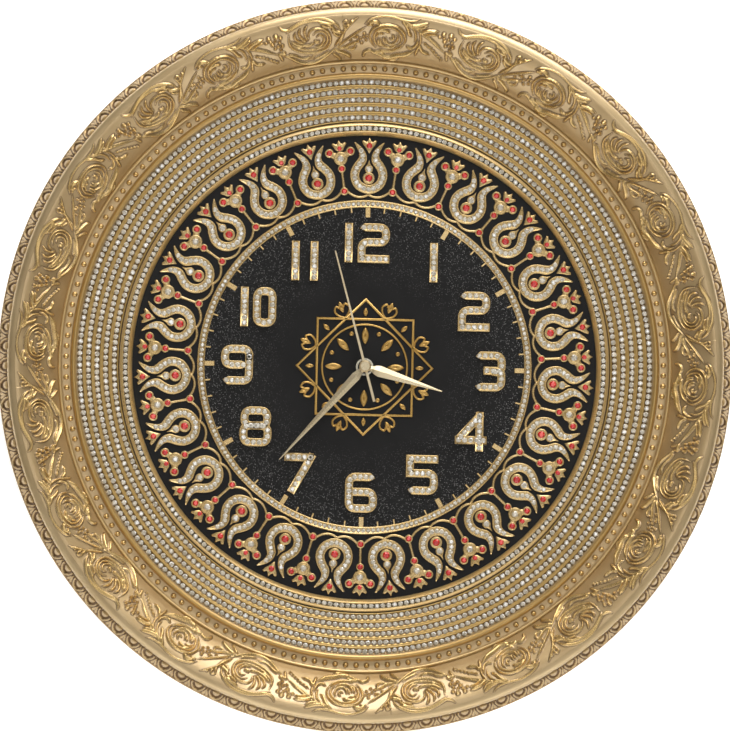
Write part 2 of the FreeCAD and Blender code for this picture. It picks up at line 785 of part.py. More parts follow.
def make_third_wheel():
    """The third wheel: driven by the seconds pinion, its pinion drives the centre wheel."""
    front = third_wheel_back + WHEEL_THICKNESS
    pinion_front = centre_wheel_back + WHEEL_THICKNESS + PINION_OVERLAP
    phase = mesh_phase(THIRD_DIRECTION, SECONDS_LEAVES, THIRD_DIRECTION, THIRD_TEETH)
    gear = wheel(THIRD_MODULE, THIRD_TEETH, phase, third_at, third_wheel_back, front)
    facing = THIRD_DIRECTION + HALF_TURN
    leaves = pinion(centre_module, THIRD_LEAVES, facing, third_at, front, pinion_front)
    arbor = bar(ARBOR_R, middle_plate_back, arbor_front_end, third_at)
    return fused([gear, leaves, arbor])


def make_seconds_wheel():
    """The seconds wheel and its long arbor, which runs through the pipes to the hand."""
    front = seconds_wheel_back + WHEEL_THICKNESS
    facing = INTERMEDIATE_DIRECTION + HALF_TURN
    phase = mesh_phase(facing, INTERMEDIATE_LEAVES, facing, SECONDS_TEETH)
    gear = wheel(SECONDS_MODULE, SECONDS_TEETH, phase, CENTRE, seconds_wheel_back, front)
    pinion_back = third_wheel_back - PINION_OVERLAP
    pinion_front = third_wheel_back + WHEEL_THICKNESS + PINION_OVERLAP
    leaves = pinion(THIRD_MODULE, SECONDS_LEAVES, THIRD_DIRECTION, CENTRE, pinion_back, pinion_front)
    arbor = bar(ARBOR_R, arbor_back, seconds_hand_front)
    return fused([gear, leaves, arbor])


def make_intermediate_wheel():
    """The intermediate wheel between the motor's rotor and the seconds wheel."""
    front = intermediate_wheel_back + WHEEL_THICKNESS
    pinion_front = seconds_wheel_back + WHEEL_THICKNESS + PINION_OVERLAP
    phase = mesh_phase(ROTOR_DIRECTION, INTERMEDIATE_TEETH, ROTOR_DIRECTION, ROTOR_LEAVES)
    facing = INTERMEDIATE_DIRECTION + HALF_TURN
    back = intermediate_wheel_back
    gear = wheel(ROTOR_MODULE, INTERMEDIATE_TEETH, ROTOR_DIRECTION, intermediate_at, back, front)
    leaves = pinion(SECONDS_MODULE, INTERMEDIATE_LEAVES, facing, intermediate_at, front, pinion_front)
    arbor = bar(ARBOR_R, arbor_back, middle_plate_front, intermediate_at)
    return fused([gear, leaves, arbor]), phase


def make_rotor(phase):
    """The motor's rotor: a round magnet with its arbor and pinion."""
    pinion_back = intermediate_wheel_back - PINION_OVERLAP
    pinion_front = intermediate_wheel_back + WHEEL_THICKNESS + PINION_OVERLAP
    leaves = pinion(ROTOR_MODULE, ROTOR_LEAVES, phase, rotor_at, pinion_back, pinion_front)
    arbor = bar(ARBOR_R, arbor_back, middle_plate_front, rotor_at)
    magnet = bar(MAGNET_R, magnet_back, magnet_front, rotor_at)
    return fused([leaves, arbor, magnet])


def make_setting_knob():
    """The knurled knob that sets the hands from the back, with its shaft and pinion."""
    phase = mesh_phase(SETTING_DIRECTION, MOTION_TEETH, motion_phase(), SETTING_LEAVES)
    pinion_front = motion_wheel_back + WHEEL_THICKNESS + PINION_OVERLAP
    pinion_back = motion_wheel_back - PINION_OVERLAP
    leaves = pinion(MINUTE_MODULE, SETTING_LEAVES, phase, setting_at, pinion_back, pinion_front)
    knob_front = case_back - KNOB_GAP
    shaft = bar(SETTING_SHAFT_R, knob_front, arbor_front_end, setting_at)
    rim = []
    for i in range(2 * KNOB_TEETH):
        radius = KNOB_R - KNOB_TOOTH * (i % 2)
        rim.append(place(setting_at, radius, HALF_TURN * i / KNOB_TEETH))
    grip = flat_plate(rim, knob_front - KNOB_THICKNESS, knob_front)
    return fused([leaves, shaft, grip])


# Movement case

def post_places():
    """Three posts between the front case and the middle plate, clear of every wheel."""
    inset = POST_HALF + POST_EDGE
    top = PLATE_TOP - inset
    return [
        (inset - PLATE_HALF_WIDTH, top - PLATE_CHAMFER / 2),
        (-MIDDLE_POST_LEFT, top),
        (PLATE_RIGHT - inset, -PLATE_SIDE_LOW - inset),
    ]


def make_case_front():
    """The front case: a tray with the bush through the dial, a pin and three posts."""
    half = CASE_HALF_WIDTH
    tray = box((-half, half), (case_back, case_front), (case_bottom, CASE_TOP))
    hollow = box((-case_half_inner, case_half_inner), (0, case_front_inner),
                 (case_bottom_inner, CASE_TOP - CASE_WALL))
    lid_seat = box((-half, half), (0, plate_back_inner), (partition_bottom, CASE_TOP))
    tray = tray.cut(hollow).cut(lid_seat)
    bush = bar(BUSH_R, case_front_inner, bush_front)
    motion_pin = bar(MOTION_PIN_R, motion_wheel_back, case_front, motion_at)
    posts = [square_post(at, POST_HALF, middle_plate_front, case_front) for at in post_places()]
    case = fused([tray, bush, motion_pin] + posts)
    case = bored(case, HOUR_PIPE_R + RUNNING_FIT, case_front_inner, bush_front)
    for radius, at in ((ARBOR_R, third_at), (SETTING_SHAFT_R, setting_at)):
        case = bored(case, radius + RUNNING_FIT, case_front_inner, case_front_inner + BORE_DEPTH, at)
    return case


def make_middle_plate():
    """The plate between the two halves of the train, cut away beside the setting shaft."""
    left = -PLATE_HALF_WIDTH
    bottom = partition_top + FRONT_PLAY
    plate = flat_plate([
        (left, -PLATE_SIDE_LOW), (left + PLATE_CHAMFER, bottom), (PLATE_RIGHT, bottom),
        (PLATE_RIGHT, -PLATE_SIDE_LOW), (PLATE_TOP_RIGHT, PLATE_TOP), (left + PLATE_CHAMFER, PLATE_TOP),
        (left, PLATE_TOP - PLATE_CHAMFER / 2),
    ], middle_plate_back, middle_plate_front)
    for at in (CENTRE, third_at, intermediate_at, rotor_at):
        plate = bored(plate, ARBOR_R + RUNNING_FIT, middle_plate_back, middle_plate_front, at)
    return plate


def make_case_rear():
    """The rear case: the lid over the train, with the wall beside the cell's bay."""
    half = CASE_HALF_WIDTH
    inset = case_half_inner - CASE_PLAY
    lid = box((-half, half), (case_back, plate_back_inner), (partition_bottom, CASE_TOP))
    wall_depths = (case_back, case_front_inner - CASE_PLAY)
    wall = box((-inset, inset), wall_depths, (partition_bottom, partition_top))
    places = stator_feet() + board_feet()
    feet = [square_post(at, POST_HALF, case_back, stator_back) for at in places]
    case = fused([lid, wall] + feet)
    for at in (CENTRE, intermediate_at, rotor_at):
        case = bored(case, ARBOR_R + RUNNING_FIT, plate_back_inner - BORE_DEPTH, plate_back_inner, at)
    return bored(case, SETTING_SHAFT_R + RUNNING_FIT, case_back, plate_back_inner, setting_at)


# Motor and circuit

def coil_ends():
    """The two ends of the winding along X, left of the rotor."""
    right = rotor_at[0] - STATOR_MARGIN
    return right - COIL_LENGTH, right


def coil_z():
    """The height of the coil's axis."""
    return rotor_at[1] + COIL_ABOVE_ROTOR


def core_depth():
    """The depth of the coil's axis: the core lies on the stator's front."""
    return stator_back + STATOR_THICKNESS + CORE_HEIGHT / 4


def stator_legs():
    """The stator's two legs as x ranges, outside the coil's cheeks."""
    left, right = coil_ends()
    left -= COIL_CHEEK
    right += COIL_CHEEK
    return (left - STATOR_LEG, left), (right, right + STATOR_LEG)


def stator_feet():
    """Where the stator rests on the rear case."""
    left, right = stator_legs()
    return [(sum(left) / 2, coil_z()), (sum(right) / 2, coil_z())]


def make_stator():
    """The stator: a flat plate with the rotor's hole and a leg at each end of the coil."""
    left, right = stator_legs()
    ring = MAGNET_R + STATOR_AIR_GAP + STATOR_EYE_WALL
    depths = (stator_back, stator_back + STATOR_THICKNESS)
    top = coil_z() + CORE_HEIGHT / 2
    low = rotor_at[1] - ring + STATOR_YOKE_HALF
    yoke = box((left[0], rotor_at[0]), depths, (low, rotor_at[1] + STATOR_YOKE_HALF))
    legs = [box(leg, depths, (low, top)) for leg in (left, right)]
    eye = bar(ring, *depths, rotor_at)
    plate = fused([yoke, eye] + legs)
    plate = bored(plate, MAGNET_R + STATOR_AIR_GAP, 0, case_front, rotor_at)
    neck_x = (rotor_at[0] - STATOR_NECK_HALF, rotor_at[0] + STATOR_NECK_HALF)
    neck_low = rotor_at[1] - ring
    return plate.cut(box(neck_x, depths, (neck_low, neck_low + STATOR_NECK_CUT)))


def make_coil_core():
    """The soft iron core through the coil, lying on both legs of the stator."""
    left, right = stator_legs()
    back = stator_back + STATOR_THICKNESS
    half = CORE_HEIGHT / 2
    return box((left[0], right[1]), (back, back + half), (coil_z() - half, coil_z() + half))


def coil_bar(half, x0, x1):
    """A square bar along the coil's axis."""
    depth = core_depth()
    return box((x0, x1), (depth - half, depth + half), (coil_z() - half, coil_z() + half))


def make_coil_bobbin():
    """The bobbin: a square tube with a cheek at each end, over the core."""
    left, right = coil_ends()
    tube_half = CORE_HEIGHT / 2 + BOBBIN_WALL
    bobbin = fused([
        coil_bar(tube_half, left - COIL_CHEEK, right + COIL_CHEEK),
        coil_bar(COIL_R, left - COIL_CHEEK, left),
        coil_bar(COIL_R, right, right + COIL_CHEEK),
    ])
    return bobbin.cut(make_coil_core())


def make_coil_winding():
    """The copper winding as one closed body between the cheeks."""
    left, right = coil_ends()
    start = vector(left, core_depth(), coil_z())
    wound = Part.makeCylinder(COIL_R, right - left, start, FreeCAD.Vector(1, 0, 0))
    return wound.cut(coil_bar(CORE_HEIGHT / 2 + BOBBIN_WALL, left, right))


def board_back():
    """The circuit board lies level with the stator."""
    return stator_back


def board_left():
    """The board's left edge, just inside the case."""
    return -case_half_inner + BOARD_GAP


def board_bottom():
    """The board's lower edge, just above the bay's partition."""
    return partition_top + BOARD_GAP


def board_feet():
    """Where the board rests on the rear case."""
    x = board_left() + BOARD_WIDTH / 2
    low = board_bottom() + BOARD_FOOT_INSET
    return [(x, low), (x, low + BOARD_HEIGHT - 2 * BOARD_FOOT_INSET)]


def make_circuit_board():
    """The small circuit board left of the train."""
    left = board_left()
    bottom = board_bottom()
    depths = (board_back(), board_back() + BOARD_THICKNESS)
    return box((left, left + BOARD_WIDTH), depths, (bottom, bottom + BOARD_HEIGHT))


def make_chip():
    """The square block of resin over the clock chip."""
    x = board_left() + BOARD_WIDTH / 2
    z = board_bottom() + BOARD_HEIGHT / 2
    face = board_back() + BOARD_THICKNESS
    return square_post((x, z), CHIP_HALF, face, face + CHIP_THICKNESS)


def make_quartz_crystal():
    """The quartz crystal in its small can."""
    x = board_left() + CRYSTAL_R + CRYSTAL_INSET
    z = board_bottom() + BOARD_HEIGHT / 2 - CRYSTAL_LENGTH / 2
    depth = board_back() + BOARD_THICKNESS + CRYSTAL_R
    return Part.makeCylinder(CRYSTAL_R, CRYSTAL_LENGTH, vector(x, depth, z), FreeCAD.Vector(0, 0, 1))


# Cell and contacts

def make_battery():
    """The AA cell, lying across the bay, with its nub to the right."""
    axis = FreeCAD.Vector(1, 0, 0)
    can = Part.makeCylinder(CELL_R, CELL_LENGTH, vector(cell_back_x, cell_depth, cell_z), axis)
    rim = [vector(cell_front_x, cell_depth + side, cell_z + up) for side, up in flats(CELL_NUB_R)]
    nub = Part.Face(Part.makePolygon(rim + rim[:1])).extrude(axis * CELL_NUB_LENGTH)
    return fused([can, nub])


def contact_ranges():
    """The depths and heights that both contact plates share, centred on the cell."""
    half = CONTACT_WIDTH / 2
    return (cell_depth - half, cell_depth + half), (cell_z - half, cell_z + half)


def make_contact_plus():
    """The flat contact that meets the cell's nub."""
    depths, heights = contact_ranges()
    return box((case_half_inner - CONTACT_THICKNESS, case_half_inner), depths, heights)


def make_contact_minus():
    """The leaf spring at the flat end of the cell, folded back on itself."""
    depths, heights = contact_ranges()
    wall_x = -case_half_inner
    bend_x = cell_back_x - CONTACT_PLAY
    t = CONTACT_THICKNESS
    nose_back = cell_depth - CONTACT_NOSE
    nose_front = cell_depth + CONTACT_NOSE
    outline = [
        (wall_x, depths[0]), (wall_x, depths[1]), (wall_x + t, depths[1]), (wall_x + t, depths[0] + 2 * t),
        (bend_x - t, nose_back), (bend_x - t, nose_front), (bend_x, nose_front), (bend_x, nose_back - t),
        (wall_x + 2 * t, depths[0]),
    ]
    return skinned([[vector(x, depth, z) for x, depth in outline] for z in heights])


# Dial fixings

def make_dial_gasket():
    """The square rubber pad between the movement and the dial."""
    pad = square_post(CENTRE, GASKET_HALF, case_front, dial_back)
    return bored(pad, BUSH_R + LOOSE_FIT, 0, crest)


def make_fixing_nut():
    """The round nut on the bush, with a slot across for its key."""
    front = dial_front + NUT_HEIGHT
    nut = bored(bar(NUT_R, dial_front, front), BUSH_R + SCREW_FIT, 0, crest)
    return nut.cut(box((-NUT_R, NUT_R), (front - NUT_SLOT_DEPTH, front), (-NUT_SLOT / 2, NUT_SLOT / 2)))


# Hands

def hand_section(distance, half_width, back, angle):
    """The corners of a folded strip's cross-section, at a distance along a hand."""
    turn = math.radians(angle)
    along = (math.sin(turn), math.cos(turn))
    across = (math.cos(turn), -math.sin(turn))
    fold = 2 * half_width * HAND_FOLD
    corners = [
        (-half_width, 0), (0, fold), (half_width, 0),
        (half_width, HAND_SHEET), (0, fold + HAND_SHEET), (-half_width, HAND_SHEET),
    ]
    points = []
    for side, rise in corners:
        x = distance * along[0] + side * across[0]
        z = distance * along[1] + side * across[1]
        points.append(vector(x, back + rise, z))
    return points


def hand_blade(length, width, boss_r, back, angle):
    """A folded blade: neck, stepped shoulders, then one long straight taper."""
    neck_half = HAND_NECK_WIDTH / 2
    shoulder = boss_r + HAND_NECK_LENGTH
    stations = [
        (boss_r - HAND_ROOT, neck_half),
        (shoulder, neck_half),
        (shoulder + HAND_SHOULDER_STEP, width * HAND_SHOULDER_SHARE / 2),
        (shoulder + HAND_SHOULDER_LENGTH, width / 2),
        (length, HAND_TIP_HALF),
    ]
    return skinned([hand_section(s, w, back, angle) for s, w in stations])


def make_hand(length, width, pipe_r, back, angle):
    """A hand with its boss, pushed on its pipe."""
    boss_r = pipe_r + HAND_BOSS_WALL
    boss = bar(boss_r, back, back + HAND_BOSS_HEIGHT)
    blade = hand_blade(length, width, boss_r, back + HAND_BLADE_LIFT, angle)
    return bored(fused([boss, blade]), pipe_r + HAND_FIT, 0, crest)


def make_seconds_hand():
    """The thin seconds hand with its straight tail."""
    tip_half = SECONDS_TIP_WIDTH / 2
    tail_half = SECONDS_TAIL_WIDTH / 2
    needle = flat_plate([
        (-tail_half, 0), (-tail_half, -SECONDS_TAIL_LENGTH),
        (tail_half, -SECONDS_TAIL_LENGTH), (tail_half, 0),
        (tip_half, SECONDS_HAND_LENGTH), (-tip_half, SECONDS_HAND_LENGTH),
    ], seconds_hand_back, seconds_hand_front)
    eye = bar(SECONDS_EYE_R, seconds_hand_back, seconds_hand_front)
    hand = bored(fused([needle, eye]), ARBOR_R + HAND_FIT, 0, crest)
    return turned(hand, SECONDS_HAND_ANGLE)


def make_seconds_cap():
    """The rounded cap over the eye of the seconds hand."""
    top = seconds_hand_front + CAP_HEIGHT
    shoulder = top - CAP_BEVEL
    foot = [vector(x, shoulder, z) for x, z in flats(CAP_R)]
    crown = [vector(x, top, z) for x, z in flats(CAP_R - CAP_BEVEL)]
    return fused([bar(CAP_R, seconds_hand_front, shoulder), skinned([foot, crown])])


# Hanger and screws

def make_hanger_plate():
    """The steel strip across the top of the back, with its keyhole."""
    half = HANGER_LENGTH / 2
    depths = (HANGER_DEPTH, HANGER_DEPTH + HANGER_THICKNESS)
    heights = (hanger_z - HANGER_HEIGHT / 2, hanger_z + HANGER_HEIGHT / 2)
    plate = box((-half, half), depths, heights)
    eye_z = hanger_z - KEYHOLE_BELOW_CENTRE
    slot_r = KEYHOLE_SLOT / 2
    cuts = [
        cylinder(KEYHOLE_R, *depths, (0, eye_z)),
        box((-slot_r, slot_r), depths, (eye_z, eye_z + KEYHOLE_RISE)),
        cylinder(slot_r, *depths, (0, eye_z + KEYHOLE_RISE)),
    ]
    plate = plate.cut(fused(cuts))
    for at in hanger_screw_places():
        plate = bored(plate, SCREW_R + LOOSE_FIT, 0, crest, at)
    return plate


def screw(head_front, length, at):
    """A screw whose head bears on a face and whose shank points to the front."""
    head = bar(SCREW_HEAD_R, head_front - SCREW_HEAD_HEIGHT, head_front, at)
    shank = bar(SCREW_R, head_front, head_front + length, at)
    return fused([head, shank])


def make_hanger_screws():
    """The two screws of the hanger plate."""
    return [screw(HANGER_DEPTH, SCREW_LENGTH, at) for at in hanger_screw_places()]


def main():
    os.makedirs("parts", exist_ok=True)
    intermediate_wheel, rotor_phase = make_intermediate_wheel()
    hour_sizes = (HOUR_HAND_LENGTH, HOUR_HAND_WIDTH, HOUR_PIPE_R)
    minute_sizes = (MINUTE_HAND_LENGTH, MINUTE_HAND_WIDTH, MINUTE_PIPE_R)
    export("frame", make_frame())
    export("scroll_relief", make_scroll_relief())
    export("dial_plate", make_dial_plate())
    export("bezel_ring", make_bezel_ring())
    export("tulip_band", make_tulip_band())
    export("numerals", make_numerals())
    export("hour_hand", make_hand(*hour_sizes, hour_boss_back, HOUR_HAND_ANGLE))
    export("minute_hand", make_hand(*minute_sizes, minute_boss_back, MINUTE_HAND_ANGLE))
    export("seconds_hand", make_seconds_hand())
    export("seconds_cap", make_seconds_cap())
    export("fixing_nut", make_fixing_nut())
    export("dial_gasket", make_dial_gasket())
    export("case_front", make_case_front())
    export("middle_plate", make_middle_plate())
    export("case_rear", make_case_rear())
    export("hour_wheel", make_hour_wheel())
    export("motion_wheel", make_motion_wheel())
    export("minute_wheel", make_minute_wheel())
    export("third_wheel", make_third_wheel())
    export("seconds_wheel", make_seconds_wheel())
    export("intermediate_wheel", intermediate_wheel)
    export("rotor", make_rotor(rotor_phase))
    export("stator", make_stator())
    export("coil_core", make_coil_core())
    export("coil_bobbin", make_coil_bobbin())
    export("coil_winding", make_coil_winding())
    export("circuit_board", make_circuit_board())
    export("chip", make_chip())
    export("quartz_crystal", make_quartz_crystal())
    export("setting_knob", make_setting_knob())
    export("battery", make_battery())
    export("contact_plus", make_contact_plus())
    export("contact_minus", make_contact_minus())
    export("hanger_plate", make_hanger_plate())
    export("hanger_screws", make_hanger_screws())


main()
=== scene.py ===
# %% [markdown]
# # A gilt wall clock set with stones, dressed piece by piece
# The solids of this clock come from the CAD model and stay where they are.
# This script lays the fine work over them: the smooth moulding, the carved relief,
# the rows of stones, the figures, and a finish for every surface.
# Lengths are written in millimetres and become metres where a mesh is made.
# A place on the round clock is a radius, a depth in front of the wall, and an angle
# clockwise from twelve as the reader of the clock sees it.

# %% Load the CAD model
import math
import bpy
import numpy as np
from mathutils import Matrix, Vector


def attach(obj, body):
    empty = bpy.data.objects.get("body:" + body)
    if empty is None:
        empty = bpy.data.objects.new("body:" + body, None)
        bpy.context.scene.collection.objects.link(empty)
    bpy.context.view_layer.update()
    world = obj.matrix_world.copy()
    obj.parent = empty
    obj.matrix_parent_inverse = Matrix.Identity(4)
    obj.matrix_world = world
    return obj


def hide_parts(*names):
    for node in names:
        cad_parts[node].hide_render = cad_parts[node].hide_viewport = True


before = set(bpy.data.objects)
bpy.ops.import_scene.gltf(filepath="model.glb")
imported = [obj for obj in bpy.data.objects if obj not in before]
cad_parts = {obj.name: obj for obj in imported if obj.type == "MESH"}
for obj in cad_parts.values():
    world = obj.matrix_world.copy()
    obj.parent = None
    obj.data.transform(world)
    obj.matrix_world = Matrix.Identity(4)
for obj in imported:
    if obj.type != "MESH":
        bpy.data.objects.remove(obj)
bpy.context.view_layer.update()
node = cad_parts

# %% [markdown]
# ## From arrays to meshes
# Every new piece is worked out as whole arrays of points. A grid of points becomes
# quads, and its two ends become one closing face each. Where a face points inwards
# the sum of the small volumes under the faces is negative, and then all are turned.

# %% Mesh helpers
MM_PER_METRE = 1000.0


def grid_faces(rows, columns, ring):
    """Corners of the quads between neighbouring points; columns close round, and in a ring the rows too."""
    first_rows = np.arange(rows if ring else rows - 1)
    row, column = np.meshgrid(first_rows, np.arange(columns), indexing="ij")
    next_row, next_column = (row + 1) % rows, (column + 1) % columns
    corners = (row * columns + column, next_row * columns + column,
               next_row * columns + next_column, row * columns + next_column)
    return np.stack(corners, -1).reshape(-1, 4)


def volume(points, faces):
    """Sum over the faces, cut into a fan of triangles, of a.(b x c) / 6."""
    total = 0.0
    for part in faces:
        for k in range(1, part.shape[1] - 1):
            a, b, c = points[part[:, 0]], points[part[:, k]], points[part[:, k + 1]]
            total += np.einsum("ij,ij->", a, np.cross(b, c)) / 6
    return total


def closed_grid(points, ring=False):
    """Points (rows, columns, 3) as a closed body of quads, with a face over each end unless it is a ring."""
    rows, columns = points.shape[:2]
    faces = [grid_faces(rows, columns, ring)]
    if not ring:
        ends = np.arange(columns)
        faces.append(np.stack([ends[::-1], ends + (rows - 1) * columns]))
    flat = points.reshape(-1, 3)
    if volume(flat - flat.mean(0), faces) < 0:
        faces = [part[:, ::-1] for part in faces]
    return flat, faces


def joined(bodies):
    """Several bodies (points, faces) as one, each with its corner numbers moved on past the ones before."""
    start, points, faces = 0, [], {}
    for body_points, body_faces in bodies:
        points.append(body_points)
        for part in body_faces:
            faces.setdefault(part.shape[1], []).append(part + start)
        start += len(body_points)
    return np.concatenate(points), [np.concatenate(parts) for parts in faces.values()]


def repeated(body, places, axes):
    """One body at many places: place + a first axis + b second axis + c third axis for a point (a, b, c)."""
    points, faces = body
    moved = places[:, None, :] + np.einsum("pc,ncd->npd", points, axes)
    shift = np.arange(len(places)) * len(points)
    moved_faces = [(part[None] + shift[:, None, None]).reshape(-1, part.shape[1]) for part in faces]
    return moved.reshape(-1, 3), moved_faces


def make_piece(name, body, material, smooth=True, rise=None, tone=None):
    """
    A mesh riding on the clock's fixed body, from points in millimetres. Faces of over four corners stay
    flat. A rise is stored for each point and a tone for each face, and the finishes read them.
    """
    points, faces = body
    mesh = bpy.data.meshes.new(name)
    mesh.vertices.add(len(points))
    mesh.vertices.foreach_set("co", (points / MM_PER_METRE).astype(np.float32).ravel())
    sizes = np.concatenate([np.full(len(part), part.shape[1]) for part in faces])
    corners = np.concatenate([part.ravel() for part in faces])
    mesh.loops.add(len(corners))
    mesh.loops.foreach_set("vertex_index", corners.astype(np.int32))
    mesh.polygons.add(len(sizes))
    starts = np.concatenate([[0], np.cumsum(sizes)[:-1]])
    mesh.polygons.foreach_set("loop_start", starts.astype(np.int32))
    mesh.polygons.foreach_set("use_smooth", (sizes <= 4) & smooth)
    mesh.update(calc_edges=True)
    for attribute, domain, values in (("rise", "POINT", rise), ("tone", "FACE", tone)):
        if values is not None:
            stored = mesh.attributes.new(attribute, "FLOAT", domain)
            stored.data.foreach_set("value", values.astype(np.float32))
    mesh.materials.append(material)
    piece = bpy.data.objects.new(name, mesh)
    bpy.context.scene.collection.objects.link(piece)
    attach(piece, "clock")
    print(name, "triangles", int((sizes - 2).sum()))
    return piece


def on_clock(radius, depth, angle):
    """Radius, depth and clockwise angle as x = radius sin(angle), y = -depth, z = radius cos(angle)."""
    radius, depth, angle = np.broadcast_arrays(radius, depth, angle)
    return np.stack([radius * np.sin(angle), -depth, radius * np.cos(angle)], -1)


# %% [markdown]
# ## Shader maths as Python
# A finish is a small formula: noise makes tone, tone makes colour and roughness.
# A Wire wraps one output of a shader tree, and arithmetic on it adds Math nodes,
# so the formula reads as one. Any other node comes from its `add` method.

# %% Wires
class Wire:
    """An output socket of a shader tree that Python's operators work on."""

    def __init__(self, tree, socket=None):
        self.tree, self.socket = tree, socket

    def add(self, kind, settings=None, inputs=None, output=0):
        """A node of that kind: its settings first, then values or Wires on its inputs; gives one output."""
        made = self.tree.nodes.new("ShaderNode" + kind)
        for key, value in (settings or {}).items():
            setattr(made, key, value)
        for key, value in (inputs or {}).items():
            if isinstance(value, Wire):
                self.tree.links.new(value.socket, made.inputs[key])
            else:
                made.inputs[key].default_value = value
        return Wire(self.tree, made.outputs[output])

    def math(self, operation, *values):
        return self.add("Math", {"operation": operation}, dict(enumerate(values)))

    def __add__(self, other):
        return self.math("ADD", self, other)

    def __sub__(self, other):
        return self.math("SUBTRACT", self, other)

    def __rsub__(self, other):
        return self.math("SUBTRACT", other, self)

    def __mul__(self, other):
        return self.math("MULTIPLY", self, other)

    def __gt__(self, other):
        return self.math("GREATER_THAN", self, other)

    def spread(self, low=0.3, high=0.7):
        """A value from low..high, at first the usual range of noise, made 0..1 and held there."""
        return self.add("MapRange", {"clamp": True}, {"Value": self, "From Min": low, "From Max": high})

    def mix(self, first, second):
        """Two colours mixed by this value."""
        return self.add("Mix", {"data_type": "RGBA"}, {0: self, 6: first, 7: second}, 2)

    def place(self):
        """The place on the piece in metres, along the piece's own axes."""
        return self.add("TexCoord", output="Object")

    def coordinate(self, axis):
        """One coordinate of this place or direction."""
        return self.add("SeparateXYZ", inputs={"Vector": self}, output=axis)

    def noise(self, scale, detail=2.0, stretch=(1, 1, 1)):
        """Fractal noise over the piece, scale in cells per metre, drawn out along the axes by stretch."""
        place = self.add("Mapping", inputs={"Vector": self.place(), "Scale": stretch})
        return self.add("TexNoise", inputs={"Vector": place, "Scale": scale, "Detail": detail})

    def bump(self, strength, depth):
        """The tilt of the surface where this value is a height of up to depth metres."""
        return self.add("Bump", inputs={"Strength": strength, "Distance": depth, "Height": self})

    def attribute(self, name):
        return self.add("Attribute", {"attribute_name": name}, output="Fac")


def colour(red, green, blue):
    """A screen colour of 0..255 as the linear colour that a shader takes."""
    parts = np.array([red, green, blue]) / 255.0
    linear = np.where(parts <= 0.04045, parts / 12.92, ((parts + 0.055) / 1.055) ** 2.4)
    return (*linear.tolist(), 1.0)


def start_finish(name, **constants):
    """A material with one Principled shader and constants on its sockets; gives material, wire, joiner."""
    material = bpy.data.materials.new(name)
    material.use_nodes = True
    tree = material.node_tree
    shader = tree.nodes["Principled BSDF"]
    for socket, value in constants.items():
        shader.inputs[socket.replace("_", " ")].default_value = value

    def join(socket, wire):
        tree.links.new(wire.socket, shader.inputs[socket])

    return material, Wire(tree), join


# %% [markdown]
# ## The gilding
# The real gilding is a thin metal coat sprayed over moulded resin and closed with
# lacquer: satin, a little uneven in tone, cream where light strikes it. A pure metal
# shader would be too dark and too yellow, and paint would not shine, so the coat is
# partly metal with a clear coat. A fine grain in the bump breaks up its reflections,
# and noise carries slightly worn, duller patches over it.

# %% The gilding
GILT_METALLIC = 0.66
# Dark brown painted shade for the hollows of carved parts.
PAINTED_SHADE = colour(92, 62, 28)
GRAIN, GRAIN_DEPTH = 2600.0, 0.00004         # specks per metre, and how deep they seem in metres
PATCHES, WANDER = 21.0, 38.0                 # worn patches and changes of tone, per metre


def drift(wire, cells=WANDER):
    """Slow noise from 0 to 1, by which a tone wanders between two colours."""
    return wire.noise(cells, 3.0).spread(0.35, 0.65)


def gilt_surface(wire, join, tone, roughness, grain=GRAIN, grain_depth=GRAIN_DEPTH):
    """Colour, a roughness that follows a fine speck and slow worn patches, and the speck as a bump."""
    speck = wire.noise(grain)
    worn = wire.noise(PATCHES, 4.0).spread(0.45, 0.7)
    join("Base Color", tone)
    join("Roughness", speck.spread() * 0.12 + worn * 0.08 + (roughness - 0.08))
    join("Normal", speck.bump(0.5, grain_depth))


def start_gilt(name, coat=0.5, coat_roughness=0.12):
    return start_finish(name, Metallic=GILT_METALLIC, Coat_Weight=coat, Coat_Roughness=coat_roughness)


def gilt(name, base, deep, roughness=0.34, grain=GRAIN, grain_depth=GRAIN_DEPTH):
    """Gold whose tone drifts with slow noise between two colours."""
    material, wire, join = start_gilt(name)
    gilt_surface(wire, join, drift(wire).mix(base, deep), roughness, grain, grain_depth)
    return material


gilt_plain = gilt("gilt_plain", colour(200, 172, 120), colour(188, 158, 104))
gilt_bright = gilt("gilt_bright", colour(214, 184, 128), colour(200, 168, 108), roughness=0.26)
gilt_yellow = gilt("gilt_yellow", colour(204, 163, 86), colour(190, 148, 72), roughness=0.3)
gilt_bezel = gilt("gilt_bezel", colour(220, 188, 128), colour(208, 174, 112), roughness=0.32)
gilt_back = gilt("gilt_back", colour(188, 154, 102), colour(172, 138, 88), roughness=0.42, grain=1400.0,
                 grain_depth=0.00009)

# %% [markdown]
# The frame's finish also depends on the place. The ridge is lighter: a painted
# highlight. The rib and the steps lie deeper; the rib is a deeper yellow, a painted
# reflection of the gold round it, and the lips of the steps are yellow too. The treads
# between the stones are dark: painted shade. So the tone follows the distance from the
# clock's axis. That could be painted on vertices, but a formula on Object coordinates
# stays sharp at any resolution.

# %% The frame's gilding
RIDGE_BAND, CHANNEL_BAND = (0.1742, 0.1766), (0.1690, 0.1742)
RIB_BAND, ROWS_BAND = (0.1660, 0.1688), (0.1408, 0.16503)
STEP_WIDTH, TREAD_SHARE = 0.00492, 0.6       # one step of the rows, and the part of it that holds stones


def from_axis(wire):
    """Distance from the clock's axis in metres: the root of x x + z z."""
    place = wire.place()
    across, up = place.coordinate("X"), place.coordinate("Z")
    square = across * across + up * up
    return square.math("POWER", square, 0.5)


def between(radius, band, soft=0.0003):
    """1 inside a band of radii, 0 outside, with soft edges."""
    low, high = band
    return radius.spread(low - soft, low + soft) * (1 - radius.spread(high - soft, high + soft))


